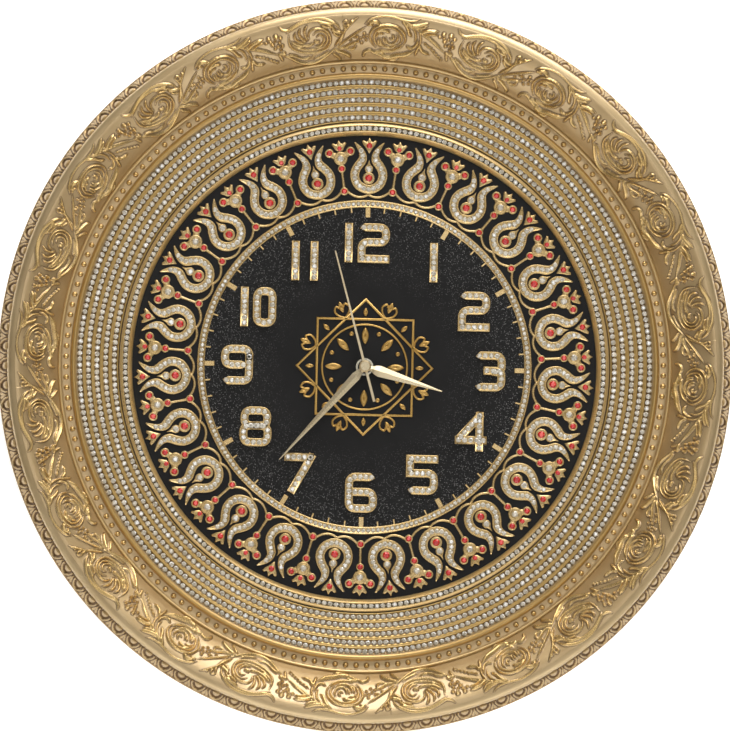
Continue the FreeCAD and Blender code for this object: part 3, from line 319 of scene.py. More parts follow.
def frame_gilding():
    """A ground tone, and over it the tone of each band; a step of the rows has a light lip and a dark tread
    of painted shade.
    """
    material, wire, join = start_gilt("gilt_frame")
    radius = from_axis(wire)
    steps_in = (radius - ROWS_BAND[1]) * (-1 / STEP_WIDTH)
    tread = 1 - steps_in.math("FRACT", steps_in).spread(TREAD_SHARE - 0.06, TREAD_SHARE)
    # A tread is painted dark: painted shade between the stones.
    rows = tread.mix(colour(210, 175, 106), colour(118, 90, 50))
    tone = drift(wire).mix(colour(200, 174, 130), colour(190, 163, 118))
    # The ridge's lighter tone is a painted highlight and the rib's yellow a painted reflection.
    shades = ((RIDGE_BAND, 0.9, colour(222, 191, 132)), (CHANNEL_BAND, 0.9, colour(200, 170, 122)),
              (RIB_BAND, 0.95, colour(190, 153, 86)), (ROWS_BAND, 0.95, rows))
    for band, share, shade in shades:
        tone = (between(radius, band) * share).mix(tone, shade)
    gilt_surface(wire, join, tone, 0.36)
    return material


gilt_frame = frame_gilding()

# %% [markdown]
# Carved parts show three tones: the ground is matt, the strands are rubbed bright and
# yellow, and a dark brown of painted shade lies along their feet. The carving's own height is stored on
# its points as `rise`: above 0 on a strand, 0 on open ground, down to -1 beside an edge, where that painted
# shade is darkest.

# %% Gilding on carved parts
CARVED_WANDER = 60.0                         # changes of tone per metre


def carved_gilding(name, ground, strand, shade_share, roughness=0.4, coat=0.6):
    """Ground and strand tones chosen by rise, with painted shade beside a strand and, thinner, on its low
    slopes.
    """
    material, wire, join = start_gilt(name, coat, 0.08)
    rise = wire.attribute("rise")
    wander = drift(wire, CARVED_WANDER)
    on_strand = rise.spread(0.02, 0.3)
    # Painted shade: foot beside a strand, low on its lower slopes.
    foot = (0 - rise).spread(0.25, 1.0) * (1 - on_strand)
    low = rise.spread(0.45, 0.05) * on_strand
    tone = on_strand.mix(wander.mix(*ground), wander.mix(*strand))
    speck = wire.noise(GRAIN)
    join("Base Color", ((foot + low * 0.6) * shade_share).mix(tone, PAINTED_SHADE))
    join("Roughness", speck.spread() * 0.12 + (roughness - 0.02 - on_strand * 0.18))
    join("Normal", speck.bump(0.5, GRAIN_DEPTH))
    return material


gilt_relief = carved_gilding("gilt_relief", (colour(200, 172, 126), colour(190, 161, 114)),
                             (colour(218, 184, 120), colour(204, 167, 98)), shade_share=1.0)
# The carved edge's ground colours are dark: painted shade in the recesses between shells and darts.
gilt_edge = carved_gilding("gilt_edge", (colour(128, 100, 62), colour(116, 88, 52)),
                           (colour(190, 161, 113), colour(176, 146, 98)), shade_share=0.9,
                           roughness=0.5, coat=0.1)
gilt_bead = carved_gilding("gilt_bead", (colour(196, 170, 126), colour(188, 160, 116)),
                           (colour(212, 178, 112), colour(202, 166, 98)), shade_share=0.8)

# %% [markdown]
# ## Stones
# A rhinestone is cut glass over a silvered back, so it throws light back from every
# facet, each at its own angle. Real glass with a mirror behind it needs many bounces
# and stays noisy at this size. Here each facet is opaque and carries a tone from 0 to
# 1, and the tone sets how light and how sharp that facet looks: the facet colours are
# painted reflection, and the lightest facets are painted glints.

# %% Stone finishes
def stone(name, dark, light, glint):
    """Facet tone picks a painted reflection from dark to light, and the top few facets are painted glints."""
    material, wire, join = start_finish(name, Metallic=0.1, Coat_Weight=0.7, Coat_Roughness=0.05)
    tone = wire.attribute("tone")
    cloudy = wire.noise(900.0, 1.0).spread()
    body = (tone.spread(0.0, 0.9) * 0.85 + cloudy * 0.15).mix(dark, light)
    # Painted glints on the top facets, over painted reflection on the rest.
    join("Base Color", tone.spread(0.86, 0.9).mix(body, glint))
    join("Roughness", 0.26 - tone * 0.2)
    return material


stone_clear = stone("stone_clear", colour(160, 151, 132), colour(230, 222, 205), colour(250, 249, 246))
stone_red = stone("stone_red", colour(168, 12, 14), colour(222, 34, 30), colour(240, 84, 74))

# %% [markdown]
# ## The dial's black
# The dial is printed black. In its inner part a fine glitter lies in the print,
# thickest near the ring of stones and thinning towards the middle. Glitter is a cell
# pattern: one flake in some cells, each with its own strength.

# %% Dial finish
FLAKES, FLAKE_FROM = 2100.0, 0.84            # cells per metre, and the random value that gives one a flake
GLITTER_START, GLITTER_FULL = 0.045, 0.09    # metres from the axis
GLITTER_END = (0.0915, 0.0925)


def dial_finish():
    """Black, with flakes near the middles of a pattern's cells, in those cells whose random value is high."""
    material, wire, join = start_finish("dial_black", Specular_IOR_Level=0.22)
    radius = from_axis(wire)
    shine = radius.spread(GLITTER_START, GLITTER_FULL) * (1 - radius.spread(*GLITTER_END))
    pattern = {"Vector": wire.place(), "Scale": FLAKES, "Randomness": 1.0}
    from_middle = wire.add("TexVoronoi", {"feature": "F1"}, pattern)
    random_colour = wire.add("TexVoronoi", {"feature": "F1"}, pattern, "Color")
    picked = wire.add("SeparateColor", inputs={"Color": random_colour}) > FLAKE_FROM
    flake = (1 - from_middle.spread(0.25, 0.45)) * picked * shine
    streak = wire.noise(700.0, 4.0, (1, 1, 2.2)).spread(0.56, 0.68) * shine
    ground = wire.noise(60.0).spread().mix(colour(21, 20, 19), colour(27, 26, 25))
    streaked = (streak * 0.4).mix(ground, colour(70, 68, 66))
    join("Base Color", (flake * 0.9).mix(streaked, colour(176, 174, 170)))
    join("Roughness", 0.5 - flake * 0.3)
    join("Normal", wire.noise(900.0).bump(0.3, 0.00005))
    return material


dial_black = dial_finish()

# %% [markdown]
# ## The moulding
# The real frame is one casting: an outer wall, a carved edge, a rounded shoulder, a
# broad band that swells towards the viewer and carries the scrolls, a thin ridge, a
# channel for beads, a rib, and five steps that lead down to the dial. The CAD ring has
# these forms in a few straight facets, and a hollow under its shoulder that this skin
# fills, as the real band has none. A ring could be made by lathing a curve object,
# but here the section is an array of points and the turning is one line of numpy, so
# the same section can also tell the scrolls how high they must stand.

# %% The moulding's section
FULL = 2 * math.pi


def round_turn(count):
    """Angles at even steps of one full turn: FULL k / count."""
    return np.arange(count) * FULL / count


def arc(centre, half_width, half_height, start, end, count):
    """Points of an ellipse: centre + (half_width cos t, half_height sin t), with t in degrees."""
    t = np.radians(np.linspace(start, end, count))
    return np.stack([centre[0] + half_width * np.cos(t), centre[1] + half_height * np.sin(t)], -1)


def smooth_line(points, count):
    """A line through the points, of cubics whose slope at a point is half the way between its neighbours."""
    p = np.array(points, float)
    p = np.concatenate([[2 * p[0] - p[1]], p, [2 * p[-1] - p[-2]]])
    t = np.linspace(0, len(p) - 3 - 1e-6, count)
    k, f = t.astype(int), (t % 1)[:, None]
    a, b, c, d = p[k], p[k + 1], p[k + 2], p[k + 3]
    squared, cubed = (2 * a - 5 * b + 4 * c - d) * f ** 2, (3 * b - a - 3 * c + d) * f ** 3
    return 0.5 * (2 * b + (c - a) * f + squared + cubed)


STEPS, STEP_PITCH, STEP_DROP = 5, 4.92, 2.0
TREAD_OUTER, TREAD_INNER, TREAD_DEPTH = 165.03, 161.95, 31.17
edge_line = smooth_line([(210.05, 38.4), (207.5, 43.6), (204.9, 48.9)], 24)
band_line = smooth_line([(204.9, 48.9), (204.6, 50.2), (204.0, 51.2), (203.0, 51.95), (201.6, 52.45),
                         (199.8, 52.65), (197.7, 52.2), (195.0, 50.9), (191.6, 48.65), (187.8, 45.8),
                         (184.0, 42.8), (180.2, 38.9), (177.4, 35.1), (176.2, 33.5)], 72)


def step_section(number):
    """One step from outside inwards: the foot of the riser, the tread, a small rim, and the sloping lip."""
    outer, inner = TREAD_OUTER - STEP_PITCH * number, TREAD_INNER - STEP_PITCH * number
    depth = TREAD_DEPTH - STEP_DROP * number
    lip = arc((inner - 0.25, depth), 0.35, 0.5, 0, 180, 7)
    return np.concatenate([[(outer, depth)], lip])


def skin_section():
    """The front line of the skin from the wall rim inwards, then back under it inside the CAD ring."""
    front = np.concatenate([
        [(209.2, 0.5), (209.9, 0.55), (210.12, 0.9), (210.12, 34.6)],
        arc((210.0, 36.1), 0.45, 1.1, -75, 75, 8),
        [(210.1, 37.5)], edge_line, band_line[1:],
        arc((175.15, 33.1), 1.0, 1.6, 10, 180, 12),
        [(174.1, 32.0), (173.8, 31.8), (171.5, 31.8), (169.4, 31.8)],
        arc((167.25, 31.8), 1.95, 2.85, 0, 180, 18),
        *[step_section(number) for number in range(STEPS)],
        [(142.2, 22.95), (141.9, 22.0)]])
    under = [(143.2, 22.2), (147.0, 22.3), (151.5, 24.3), (156.4, 26.3), (161.3, 28.3), (166.0, 30.3),
             (175.4, 31.0), (186.5, 40.2), (196.8, 45.3), (199.6, 48.6), (201.5, 51.0), (203.6, 48.6),
             (208.6, 37.0), (208.6, 1.0)]
    return np.concatenate([front, under])


def turned(section, turns=480):
    """A section (radius, depth) carried round the clock's axis: one copy of it for each of the turns."""
    return closed_grid(on_clock(*section.T, round_turn(turns)[:, None]), ring=True)


make_piece("gilt_moulding", turned(skin_section()), gilt_frame)

# %% [markdown]
# ## Scrolls on the band
# On the real frame leafy scrolls are cast with the band: yellow, polished strands on
# a matt champagne ground, with a dark brown of painted shade along their feet. They could be curves with
# a round bevel, but where strands cross and merge a height field is cleaner. One unit
# of the pattern fills 30 degrees and comes back twelve times. Each stroke raises the
# ground round its line, so a stroke is a half width and a few points, and where
# strokes meet the higher one wins. Where nothing is raised, the distance to the next
# strand is kept instead, and the finish paints shade by it, darker nearer a strand.

# %% The scroll's strokes
UNIT_ANGLE = math.radians(30)
SCROLL_TOP, SCROLL_MM = 201.3, 0.068         # radius of the drawing's line 0, and millimetres for one unit
DRAWING_WIDTH, DRAWN_FROM, DRAWN_TO = 1383.0, 12, 368

# A stroke is a half width and then x and y of each point: x runs clockwise, y inwards.
VORTEX = [
    (10, 262, 268, 225, 225, 212, 180, 240, 125, 300, 98, 370, 92, 440, 110, 488, 155, 500, 205, 478, 252),
    (9, 300, 262, 262, 235, 246, 190, 262, 145, 312, 119, 380, 114, 440, 140, 470, 185, 460, 228, 415, 262),
    (10, 290, 285, 340, 292, 400, 286, 455, 262, 480, 235), (13, 268, 152, 300, 136, 340, 140, 370, 152),
    (9, 262, 190, 282, 166, 322, 162), (10, 296, 200, 308, 238, 350, 262, 400, 258, 436, 232),
    (8, 280, 200, 285, 235, 318, 262), (9, 342, 188, 350, 222, 382, 240, 420, 224, 438, 190, 426, 160),
    (9, 372, 196, 398, 204, 404, 182, 388, 166), (8, 322, 190, 328, 218, 352, 242)]
STEMS = [
    (9, 172, 92, 205, 60, 250, 40, 300, 28, 350, 24, 400, 30, 450, 42, 510, 45, 560, 38, 590, 16),
    (13, 203, 86, 240, 74, 288, 92), (8, 225, 62, 262, 68, 292, 96), (9, 188, 100, 214, 96, 236, 104),
    (13, 455, 50, 498, 92, 520, 138, 547, 166), (9, 480, 70, 530, 90, 566, 122, 580, 165, 574, 205),
    (9, 470, 48, 560, 92, 640, 138, 740, 190, 852, 250), (7, 585, 88, 690, 150, 800, 212),
    (14, 528, 80, 590, 70, 655, 42), (11, 560, 96, 612, 88, 655, 66), (14, 618, 122, 672, 100, 748, 92),
    (10, 650, 140, 700, 122, 748, 118), (11, 836, 240, 862, 238, 894, 252),
    (11, 850, 248, 858, 272, 867, 292), (9, 878, 226, 893, 240, 888, 268),
    (7, 645, 196, 700, 222, 760, 262, 824, 298), (9, 600, 118, 616, 150, 622, 185, 618, 232),
    (12, 618, 222, 606, 262, 598, 300), (13, 622, 226, 650, 262, 712, 276),
    (11, 515, 240, 545, 254, 576, 244, 596, 214, 600, 180), (12, 163, 338, 172, 308, 206, 292, 252, 298),
    (10, 206, 296, 300, 320, 360, 345, 420, 352, 462, 342),
    (17, 300, 324, 380, 334, 450, 318, 520, 302, 585, 270), (9, 250, 300, 300, 300, 340, 310)]
ROSETTE = [
    (10, 952, 116, 944, 170, 960, 215, 1010, 250, 1080, 272, 1160, 278, 1230, 262, 1270, 225, 1276, 170,
     1246, 120, 1190, 100, 1130, 108, 1106, 140, 1108, 172),
    (9, 968, 198, 1010, 228, 1080, 250, 1150, 256, 1215, 240, 1250, 205, 1250, 160, 1220, 130, 1175, 125,
     1145, 146), (8, 1140, 238, 1190, 234, 1222, 205, 1222, 170, 1195, 152, 1168, 166),
    (12, 1142, 212, 1085, 220, 1020, 202, 960, 166), (10, 1076, 196, 1020, 176, 995, 140, 1005, 106),
    (10, 1090, 190, 1050, 160, 1032, 120, 1046, 84), (10, 1100, 180, 1080, 140, 1082, 100, 1104, 68),
    (9, 964, 184, 992, 210, 1052, 228), (13, 1150, 196, 1168, 206, 1184, 200)]
TAILS = [
    (12, 893, 32, 915, 62, 955, 72, 1010, 52, 1080, 28, 1160, 18, 1230, 28, 1290, 55, 1340, 95, 1358, 142),
    (9, 940, 96, 1000, 68, 1060, 46, 1130, 38, 1200, 46, 1260, 76, 1310, 112, 1336, 152),
    (12, 1200, 58, 1252, 66, 1312, 84), (10, 1212, 80, 1255, 98, 1296, 104),
    (14, 1290, 116, 1330, 138, 1374, 150), (11, 1300, 140, 1326, 166, 1352, 178),
    (12, 886, 264, 920, 276, 960, 305, 1010, 335, 1080, 352, 1150, 348, 1210, 325, 1270, 295, 1335, 252),
    (9, 958, 268, 992, 292, 1050, 312, 1112, 304), (8, 1130, 328, 1200, 308, 1262, 280),
    (10, 924, 262, 960, 272, 1002, 292), (10, 1310, 250, 1350, 200, 1400, 130, 1450, 80, 1497, 40),
    (9, 1330, 262, 1400, 215, 1480, 165, 1557, 116), (9, 1345, 240, 1380, 172, 1396, 116, 1384, 72),
    (8, 1384, 74, 1408, 60, 1420, 82, 1400, 104), (10, 1330, 266, 1390, 266, 1450, 240, 1505, 226),
    (14, 1296, 276, 1370, 300, 1418, 322, 1438, 346), (12, 1288, 298, 1330, 330, 1354, 354),
    (10, 1396, 272, 1450, 280, 1486, 262)]
# A berry is x, y and half width.
BERRIES = [
    (792, 100, 17), (800, 128, 14), (850, 100, 20), (884, 120, 15), (838, 134, 12), (812, 154, 17),
    (870, 150, 13), (885, 182, 17), (852, 178, 14), (826, 188, 13), (868, 210, 13), (765, 128, 13),
    (665, 205, 11), (692, 221, 11), (718, 230, 11), (744, 246, 11), (770, 264, 11), (796, 280, 11),
    (818, 294, 12), (1493, 190, 13), (1520, 205, 12), (1546, 190, 12), (1564, 216, 12), (1530, 236, 12),
    (1500, 224, 12), (1550, 164, 12), (1572, 186, 11), (1474, 246, 12), (1424, 100, 12), (1452, 66, 11),
    (1474, 190, 11), (1440, 214, 11)]


# %% The height of one unit
STROKE_FULLNESS, ROOF_POWER = 0.96, 1.6
GROOVED_FROM, GROOVE_SHARE = 11, 0.35        # half width with a groove, and its depth as part of the height
FULL_HEIGHT_HALF = 11.0                      # half width of a stroke that is 1 high
# How far, in drawing units, the painted shade reaches from a strand's edge.
SHADE_REACH = 13.0
UNIT_COLUMNS, BAND_ROWS = 300, 76


def drawn_strokes():
    """Half width, middle line and taper of each stroke; a berry is a stroke of one point."""
    for half, *line in VORTEX + STEMS + ROSETTE + TAILS:
        line = smooth_line(np.reshape(line, (-1, 2)), 6 * len(line))
        t = np.linspace(0, 1, len(line))
        yield half, line, np.sqrt(np.clip(np.minimum(t / 0.12, (1 - t) / 0.2), 0.12, 1))
    for x, y, half in BERRIES:
        yield half, np.array([[x, y]]), np.ones(1)


def stroke_heights(x, y):
    """
    Relief over the drawing. A stroke is 1 - (distance / half width)^1.6 high, a rounded roof whose slopes
    catch the light, and lower at its ends; a broad one has a groove along its middle. The highest wins.
    Where none reaches, the value is minus the nearness of a strand's edge: 1 there, 0 as far off as the
    painted shade reaches.
    """
    height, clear = np.zeros_like(x), np.full_like(x, SHADE_REACH)
    for half, line, taper in drawn_strokes():
        across = (x[..., None] - line[:, 0] + DRAWING_WIDTH / 2) % DRAWING_WIDTH - DRAWING_WIDTH / 2
        distance, width = np.hypot(across, y[..., None] - line[:, 1]), half * STROKE_FULLNESS * taper
        roof = (1 - np.clip(distance / width, 0, 1) ** ROOF_POWER) * taper
        raised = roof.max(-1) * half / FULL_HEIGHT_HALF
        if half >= GROOVED_FROM and len(line) > 1:
            raised *= 1 - GROOVE_SHARE * np.exp(-((distance / width).min(-1) / 0.3) ** 2)
        height = np.maximum(height, raised)
        clear = np.minimum(clear, (distance - width).min(-1))
    return np.where(height > 0, height, np.clip(clear, 0, SHADE_REACH) / SHADE_REACH - 1)


drawing_x, drawing_y = np.meshgrid(np.arange(UNIT_COLUMNS) * DRAWING_WIDTH / UNIT_COLUMNS,
                                   np.linspace(DRAWN_FROM, DRAWN_TO, BAND_ROWS), indexing="ij")
unit_rise = stroke_heights(drawing_x, drawing_y)
print("scroll unit", unit_rise.shape, "highest", round(float(unit_rise.max()), 2))

# %% [markdown]
# The unit is laid on the band's own line: each point stands on the section, moved
# along the section's normal by its height. The strands get lower towards the
# shoulder, where the real ones run out. Twelve units are made as four pieces.

# %% Twelve units in four pieces
SCROLL_HEIGHT, GROUND_LIFT, HIGHEST = 2.0, 0.06, 53.1
LOW_FROM, LOW_OVER, LOWEST_SHARE = 203.0, 5.0, 0.4
SCROLL_TURN = math.radians(-5.25)
PIECES, UNITS_IN_PIECE = 4, 3


def band_depth(radius):
    """Depth of the skin's front line at a radius of the band or its shoulder."""
    return np.interp(radius, band_line[::-1, 0], band_line[::-1, 1])


def scroll_piece(number):
    """Three units side by side: radius and depth moved by (-sin, cos) of the section's tilt times height."""
    columns = np.arange(UNITS_IN_PIECE * UNIT_COLUMNS + 1)
    rise = unit_rise[columns % UNIT_COLUMNS]
    angle = SCROLL_TURN + (number * UNITS_IN_PIECE + columns[:, None] / UNIT_COLUMNS) * UNIT_ANGLE
    radius = SCROLL_TOP - drawing_y[0] * SCROLL_MM
    tilt = np.arctan2(band_depth(radius + 0.3) - band_depth(radius - 0.3), 0.6)
    share = np.clip((LOW_FROM - radius) / LOW_OVER, LOWEST_SHARE, 1)
    lift = np.clip(rise, 0, 2) * SCROLL_HEIGHT * share + GROUND_LIFT
    depth = np.minimum(band_depth(radius) + lift * np.cos(tilt), HIGHEST)
    top = on_clock(radius - lift * np.sin(tilt), depth, angle)
    edge = radius[[-1, 0]]
    under = on_clock(edge + 0.5, band_depth(edge) - 1.0, angle)
    rise_of_all = np.concatenate([rise, np.zeros((len(columns), 2))], 1)
    return closed_grid(np.concatenate([top, under], 1)), rise_of_all.ravel()


for number in range(PIECES):
    body, rise = scroll_piece(number)
    scrolls = make_piece(f"scrolls_{number + 1}", body, gilt_relief, rise=rise)
    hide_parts("scroll_relief")

# %% [markdown]
# ## The carved edge
# Round the outside runs an egg-and-dart edge: an egg in a deep shell, and a dart
# between each pair of shells. One shell could be modelled and arrayed on a circle;
# a height over the sloping edge gives the same carving with no seams, worked out once
# for one repeat. It is cut deep, because it is seen only as light and shadow.

# %% Egg and dart
EGGS, EGG_COLUMNS = 116, 32
EGG_DEPTH, EDGE_LIFT, WIDEST_R = 1.25, 0.05, 210.2
SHELL_HALF, SHELL_MIDDLE, SHELL_WALL, SHELL_TOP = (0.72, 0.76), 1.02, 0.13, 0.95
EGG_HALF, EGG_MIDDLE, EGG_TOP = (0.42, 0.4), 0.94, 0.9
DART_FROM, DART_TO, DART_TIP, DART_TOP = 0.24, 0.92, 0.95, 0.8
DART_HALF, DART_SPREAD, NO_DART = 0.2, 0.34 / 0.6, 9.0
GROOVE_TO, GROOVE_HALF, GROOVE_DEPTH = 0.62, 0.1, 0.75
# The last number is how far painted shade reaches from an edge of the carving.
BORDER_TO, BORDER_TOP, SHADE_WIDTH = 0.12, 0.4, 0.2


def egg_heights(across, inwards):
    """
    Across runs -1..1 over one repeat, inwards 0..1. The shell is a raised ring round a point at the inner
    side, the egg a dome inside it, the dart a wedge between shells with a groove down its middle. Each is as
    high as the root of 1 - (way from its middle / half width)^2. Elsewhere the value is minus the nearness
    of an edge, by which the finish paints shade.
    """
    shell = (np.hypot(across / SHELL_HALF[0], (inwards - SHELL_MIDDLE) / SHELL_HALF[1]) - 1) / SHELL_WALL
    egg = np.hypot(across / EGG_HALF[0], (inwards - EGG_MIDDLE) / EGG_HALF[1])
    aside = 1 - np.abs(across)
    dart_half = np.clip(DART_SPREAD * (DART_TIP - inwards), 0.02, 1)
    dart = np.where((inwards > DART_FROM) & (inwards < DART_TO), aside / dart_half, NO_DART)
    groove = 1 - GROOVE_DEPTH * np.exp(-(aside / GROOVE_HALF) ** 2) * (inwards < GROOVE_TO)
    raised = [np.sqrt(np.clip(1 - shape ** 2, 0, 1)) * top
              for shape, top in ((shell, SHELL_TOP), (egg, EGG_TOP), (dart, DART_TOP * groove))]
    height = np.maximum(np.max(raised, 0), np.where(inwards < BORDER_TO, BORDER_TOP, 0))
    clear = np.minimum.reduce([(np.abs(shell) - 1) * SHELL_WALL, (egg - 1) * EGG_HALF[1],
                               (dart - 1) * DART_HALF])
    return np.where(height > 0, height, np.clip(clear / SHADE_WIDTH, 0, 1) - 1)


def egg_edge():
    """The heights of one repeat, copied round, each point moved off the edge's line along its normal."""
    across, inwards = np.meshgrid(np.linspace(-1, 1, EGG_COLUMNS, endpoint=False),
                                  np.linspace(0, 1, len(edge_line)), indexing="ij")
    rise = np.tile(egg_heights(across, inwards), (EGGS, 1))
    angle = round_turn(len(rise))[:, None]
    way = np.gradient(edge_line, axis=0)
    way /= np.linalg.norm(way, axis=1)[:, None]
    lift = np.clip(rise, 0, 2) * EGG_DEPTH + EDGE_LIFT
    radius = np.minimum(edge_line[:, 0] + lift * way[:, 1], WIDEST_R)
    top = on_clock(radius, edge_line[:, 1] - lift * way[:, 0], angle)
    under = on_clock(*(edge_line[[-1, 0]] - 0.9).T, angle)
    rise_of_all = np.concatenate([rise, np.zeros((len(rise), 2))], 1)
    return closed_grid(np.concatenate([top, under], 1), ring=True), rise_of_all.ravel()


body, rise = egg_edge()
make_piece("egg_and_dart", body, gilt_edge, rise=rise)

# %% [markdown]
# ## Beads in the channel
# Between the ridge and the rib lies a flat channel with 180 round beads, each with
# painted shade round its foot. Half spheres from the modeller would do, but they are
# repeated many times, so each is a dome of a few dozen faces: a skirt of painted shade, then
# rings that close over the top.

# %% Beads
BEADS, BEAD_RING_R, CHANNEL_DEPTH, BEAD_SIDES = 180, 171.55, 31.8, 14
# One ring of points of a bead has a radius, a height and a rise; a rise below 0 paints shade round the foot.
BEAD_RINGS = np.array([(1.72, -0.1, 0), (1.7, 0.03, -0.3), (1.5, 0.06, -1), (1.42, 0.2, 0.1),
                       (1.28, 0.72, 0.8), (0.92, 1.14, 1), (0.45, 1.38, 1), (0.12, 1.44, 1)])


def lathed(rings, sides=12):
    """A small turned body on the axis c: a circle of points for each (radius, height), closed at the ends."""
    turn = round_turn(sides)
    radius, height = np.array(rings, float).T[:, :, None]
    return closed_grid(np.stack([radius * np.cos(turn), radius * np.sin(turn), height + 0 * turn], -1))


def dome(radius, sides=12, levels=(0, 28, 54, 74)):
    """Rings of a half sphere at heights radius sin(level), on a foot that reaches below c = 0."""
    level = np.radians(levels)
    rings = [(radius, -0.3 * radius)] + list(zip(radius * np.cos(level), radius * np.sin(level)))
    return lathed(rings, sides)


def facing_axes(angle, twist=0.0):
    """Axes for pieces set on the clock's face: right, up and out, turned by the clock angle and a twist."""
    turn = np.asarray(angle) + twist
    zero = 0 * turn
    return np.stack([np.stack([np.cos(turn), zero, -np.sin(turn)], -1),
                     np.stack([np.sin(turn), zero, np.cos(turn)], -1),
                     np.stack([zero, zero - 1, zero], -1)], 1)


bead_angle = round_turn(BEADS) + math.radians(0.5)
bead_places = on_clock(BEAD_RING_R, CHANNEL_DEPTH, bead_angle)
beads = repeated(lathed(BEAD_RINGS[:, :2], BEAD_SIDES), bead_places, facing_axes(bead_angle))
bead_rise = np.tile(np.repeat(BEAD_RINGS[:, 2], BEAD_SIDES), BEADS)
make_piece("beads", beads, gilt_bead, rise=bead_rise)

# %% [markdown]
# ## Rows of stones
# Every stone is the same brilliant: a flat table, a crown of small facets down to
# its girdle, and a flat back in the metal. A row is that stone at even angles, each
# with its own twist, so neighbours never flash together.

# %% Stones in rows
chance = np.random.default_rng(7)
TABLE_SHARE, FACETS_ROUND = 0.52, 8


def brilliant(radius, height):
    """A girdle ring, a table ring at 0.52 of its radius turned half a facet, and the faces between them."""
    turn, here = round_turn(FACETS_ROUND), np.arange(FACETS_ROUND)
    half = turn + math.pi / FACETS_ROUND
    girdle = np.stack([radius * np.cos(turn), radius * np.sin(turn), 0 * turn], -1)
    table_radius = radius * TABLE_SHARE
    table = np.stack([table_radius * np.cos(half), table_radius * np.sin(half), 0 * turn + height], -1)
    following, above = (here + 1) % FACETS_ROUND, here + FACETS_ROUND
    crown = np.concatenate([np.stack([here, following, above], -1),
                            np.stack([above, following, following + FACETS_ROUND], -1)])
    return np.concatenate([girdle, table]), [crown, np.stack([here[::-1], above])]


def set_stones(name, places, radius, height, red=False):
    """Brilliants at places, each with a twist of its own and a random tone on every facet."""
    twist = chance.uniform(0, FULL, len(places))
    body = repeated(brilliant(radius, height), places, facing_axes(0 * twist, twist))
    tone = chance.uniform(0, 1, sum(len(part) for part in body[1]))
    material, slot = (stone_red, "stone_red") if red else (stone_clear, "stone_clear")
    make_piece(name, body, material, smooth=False, tone=tone)


FIRST_ROW_R, ROW_LIFT = 163.75, 0.35
STONES_IN_ROW = (300, 289, 280, 270, 260)
row_places = []
for row, count in enumerate(STONES_IN_ROW):
    depth = TREAD_DEPTH - STEP_DROP * row + ROW_LIFT
    row_places.append(on_clock(FIRST_ROW_R - STEP_PITCH * row, depth, round_turn(count)))
set_stones("row_stones", np.concatenate(row_places), radius=1.56, height=0.75)

# %% [markdown]
# ## The bezel ring
# A flat gilt ring closes the steps. Its stones lie in a groove, where a black ring
# is painted shade that shows between them, and fine prongs stand on both sides of them.

# %% Bezel
BEZEL_STONES, BEZEL_STONE_R, GROOVE_FLOOR = 256, 137.7, 23.45


def bezel_section():
    """From outside inwards: a flat land, a rim, the groove, an inner rim, the slope to the dial, and back."""
    land = [(140.75, 22.4), (140.7, 23.5), (140.3, 23.95), (139.6, 24.0)]
    outer_rim = [(139.4, 24.25), (139.15, 24.0), (139.1, 23.4)]
    inner_rim = [(136.3, 23.4), (136.25, 24.0), (135.95, 24.25), (135.6, 23.95)]
    slope = [(134.7, 22.6), (133.85, 21.4), (133.65, 20.8), (133.85, 20.7), (136.0, 22.0)]
    return np.array(land + outer_rim + inner_rim + slope)


def set_prongs(name, radius, rows, depth, stones):
    """Small domes half way between the stones of a ring, in a row on each side of it."""
    angle = round_turn(stones) + math.pi / stones
    places = np.concatenate([on_clock(row, depth, angle) for row in rows])
    axes = np.concatenate([facing_axes(angle)] * len(rows))
    make_piece(name, repeated(dome(radius, 6, (0, 45, 75)), places, axes), gilt_bright)


make_piece("bezel_skin", turned(bezel_section()), gilt_bezel)
# A black ring laid in the groove: painted shade between the bezel stones.
groove = np.array([(139.12, 23.3), (139.12, 23.46), (136.26, 23.46), (136.26, 23.3)])
make_piece("bezel_groove_shade", turned(groove), dial_black)
bezel_places = on_clock(BEZEL_STONE_R, GROOVE_FLOOR + 0.3, round_turn(BEZEL_STONES))
set_stones("bezel_stones", bezel_places, radius=1.52, height=0.7)
set_prongs("bezel_prongs", 0.42, (136.5, 138.85), GROOVE_FLOOR, BEZEL_STONES)

# %% [markdown]
# ## Flat work on the dial
# The dial carries thin gilt shapes: bands with raised borders, round wires, and small
# bosses that hold single stones. Two ways of making cover them all. A strip carries a
# section along a line. A boss shrinks its outline to the middle while it rises.
# Both are drawn flat, with the height above the dial as the third number.

# %% Strips and bosses
DIAL_DEPTH, FOOT = 20.55, -0.3               # sections and bosses start this far below the dial's surface


def unit(ways):
    """Each way divided by its length."""
    return ways / np.linalg.norm(ways, axis=1)[:, None]


def with_height(flat, height):
    """Flat points (rows, columns, 2) with a height as the third number."""
    return np.concatenate([flat, np.broadcast_to(height, flat.shape[:2])[..., None]], 2)


def strip(path, widths, section, ring=False):
    """A section (across -1..1, height) along a flat path; at a bend it widens by 1 / cos(half the bend)."""
    path, section = np.asarray(path, float), np.asarray(section, float)
    if ring:
        ahead = np.roll(path, -1, 0) - path
        behind = np.roll(ahead, 1, 0)
    else:
        ahead = np.diff(path, axis=0, append=2 * path[-1:] - path[-2:-1])
        behind = np.concatenate([ahead[:1], ahead[:-1]])
    mean = unit(unit(ahead) + unit(behind))
    stretch = 1 / np.clip((mean * unit(ahead)).sum(1), 0.6, 1)
    half = np.broadcast_to(widths, len(path)) / 2 * stretch
    side = np.stack([mean[:, 1], -mean[:, 0]], -1) * half[:, None]
    flat = path[:, None] + side[:, None] * section[:, 0][None, :, None]
    return closed_grid(with_height(flat, section[:, 1]), ring)


def boss(outline, levels, centre):
    """An outline shrunk towards its centre: levels are (share of the outline, height), from dial to top."""
    outline, centre = np.asarray(outline, float), np.asarray(centre, float)
    share, height = np.array(levels).T[:, :, None]
    return closed_grid(with_height(centre + share[..., None] * (outline - centre), height))


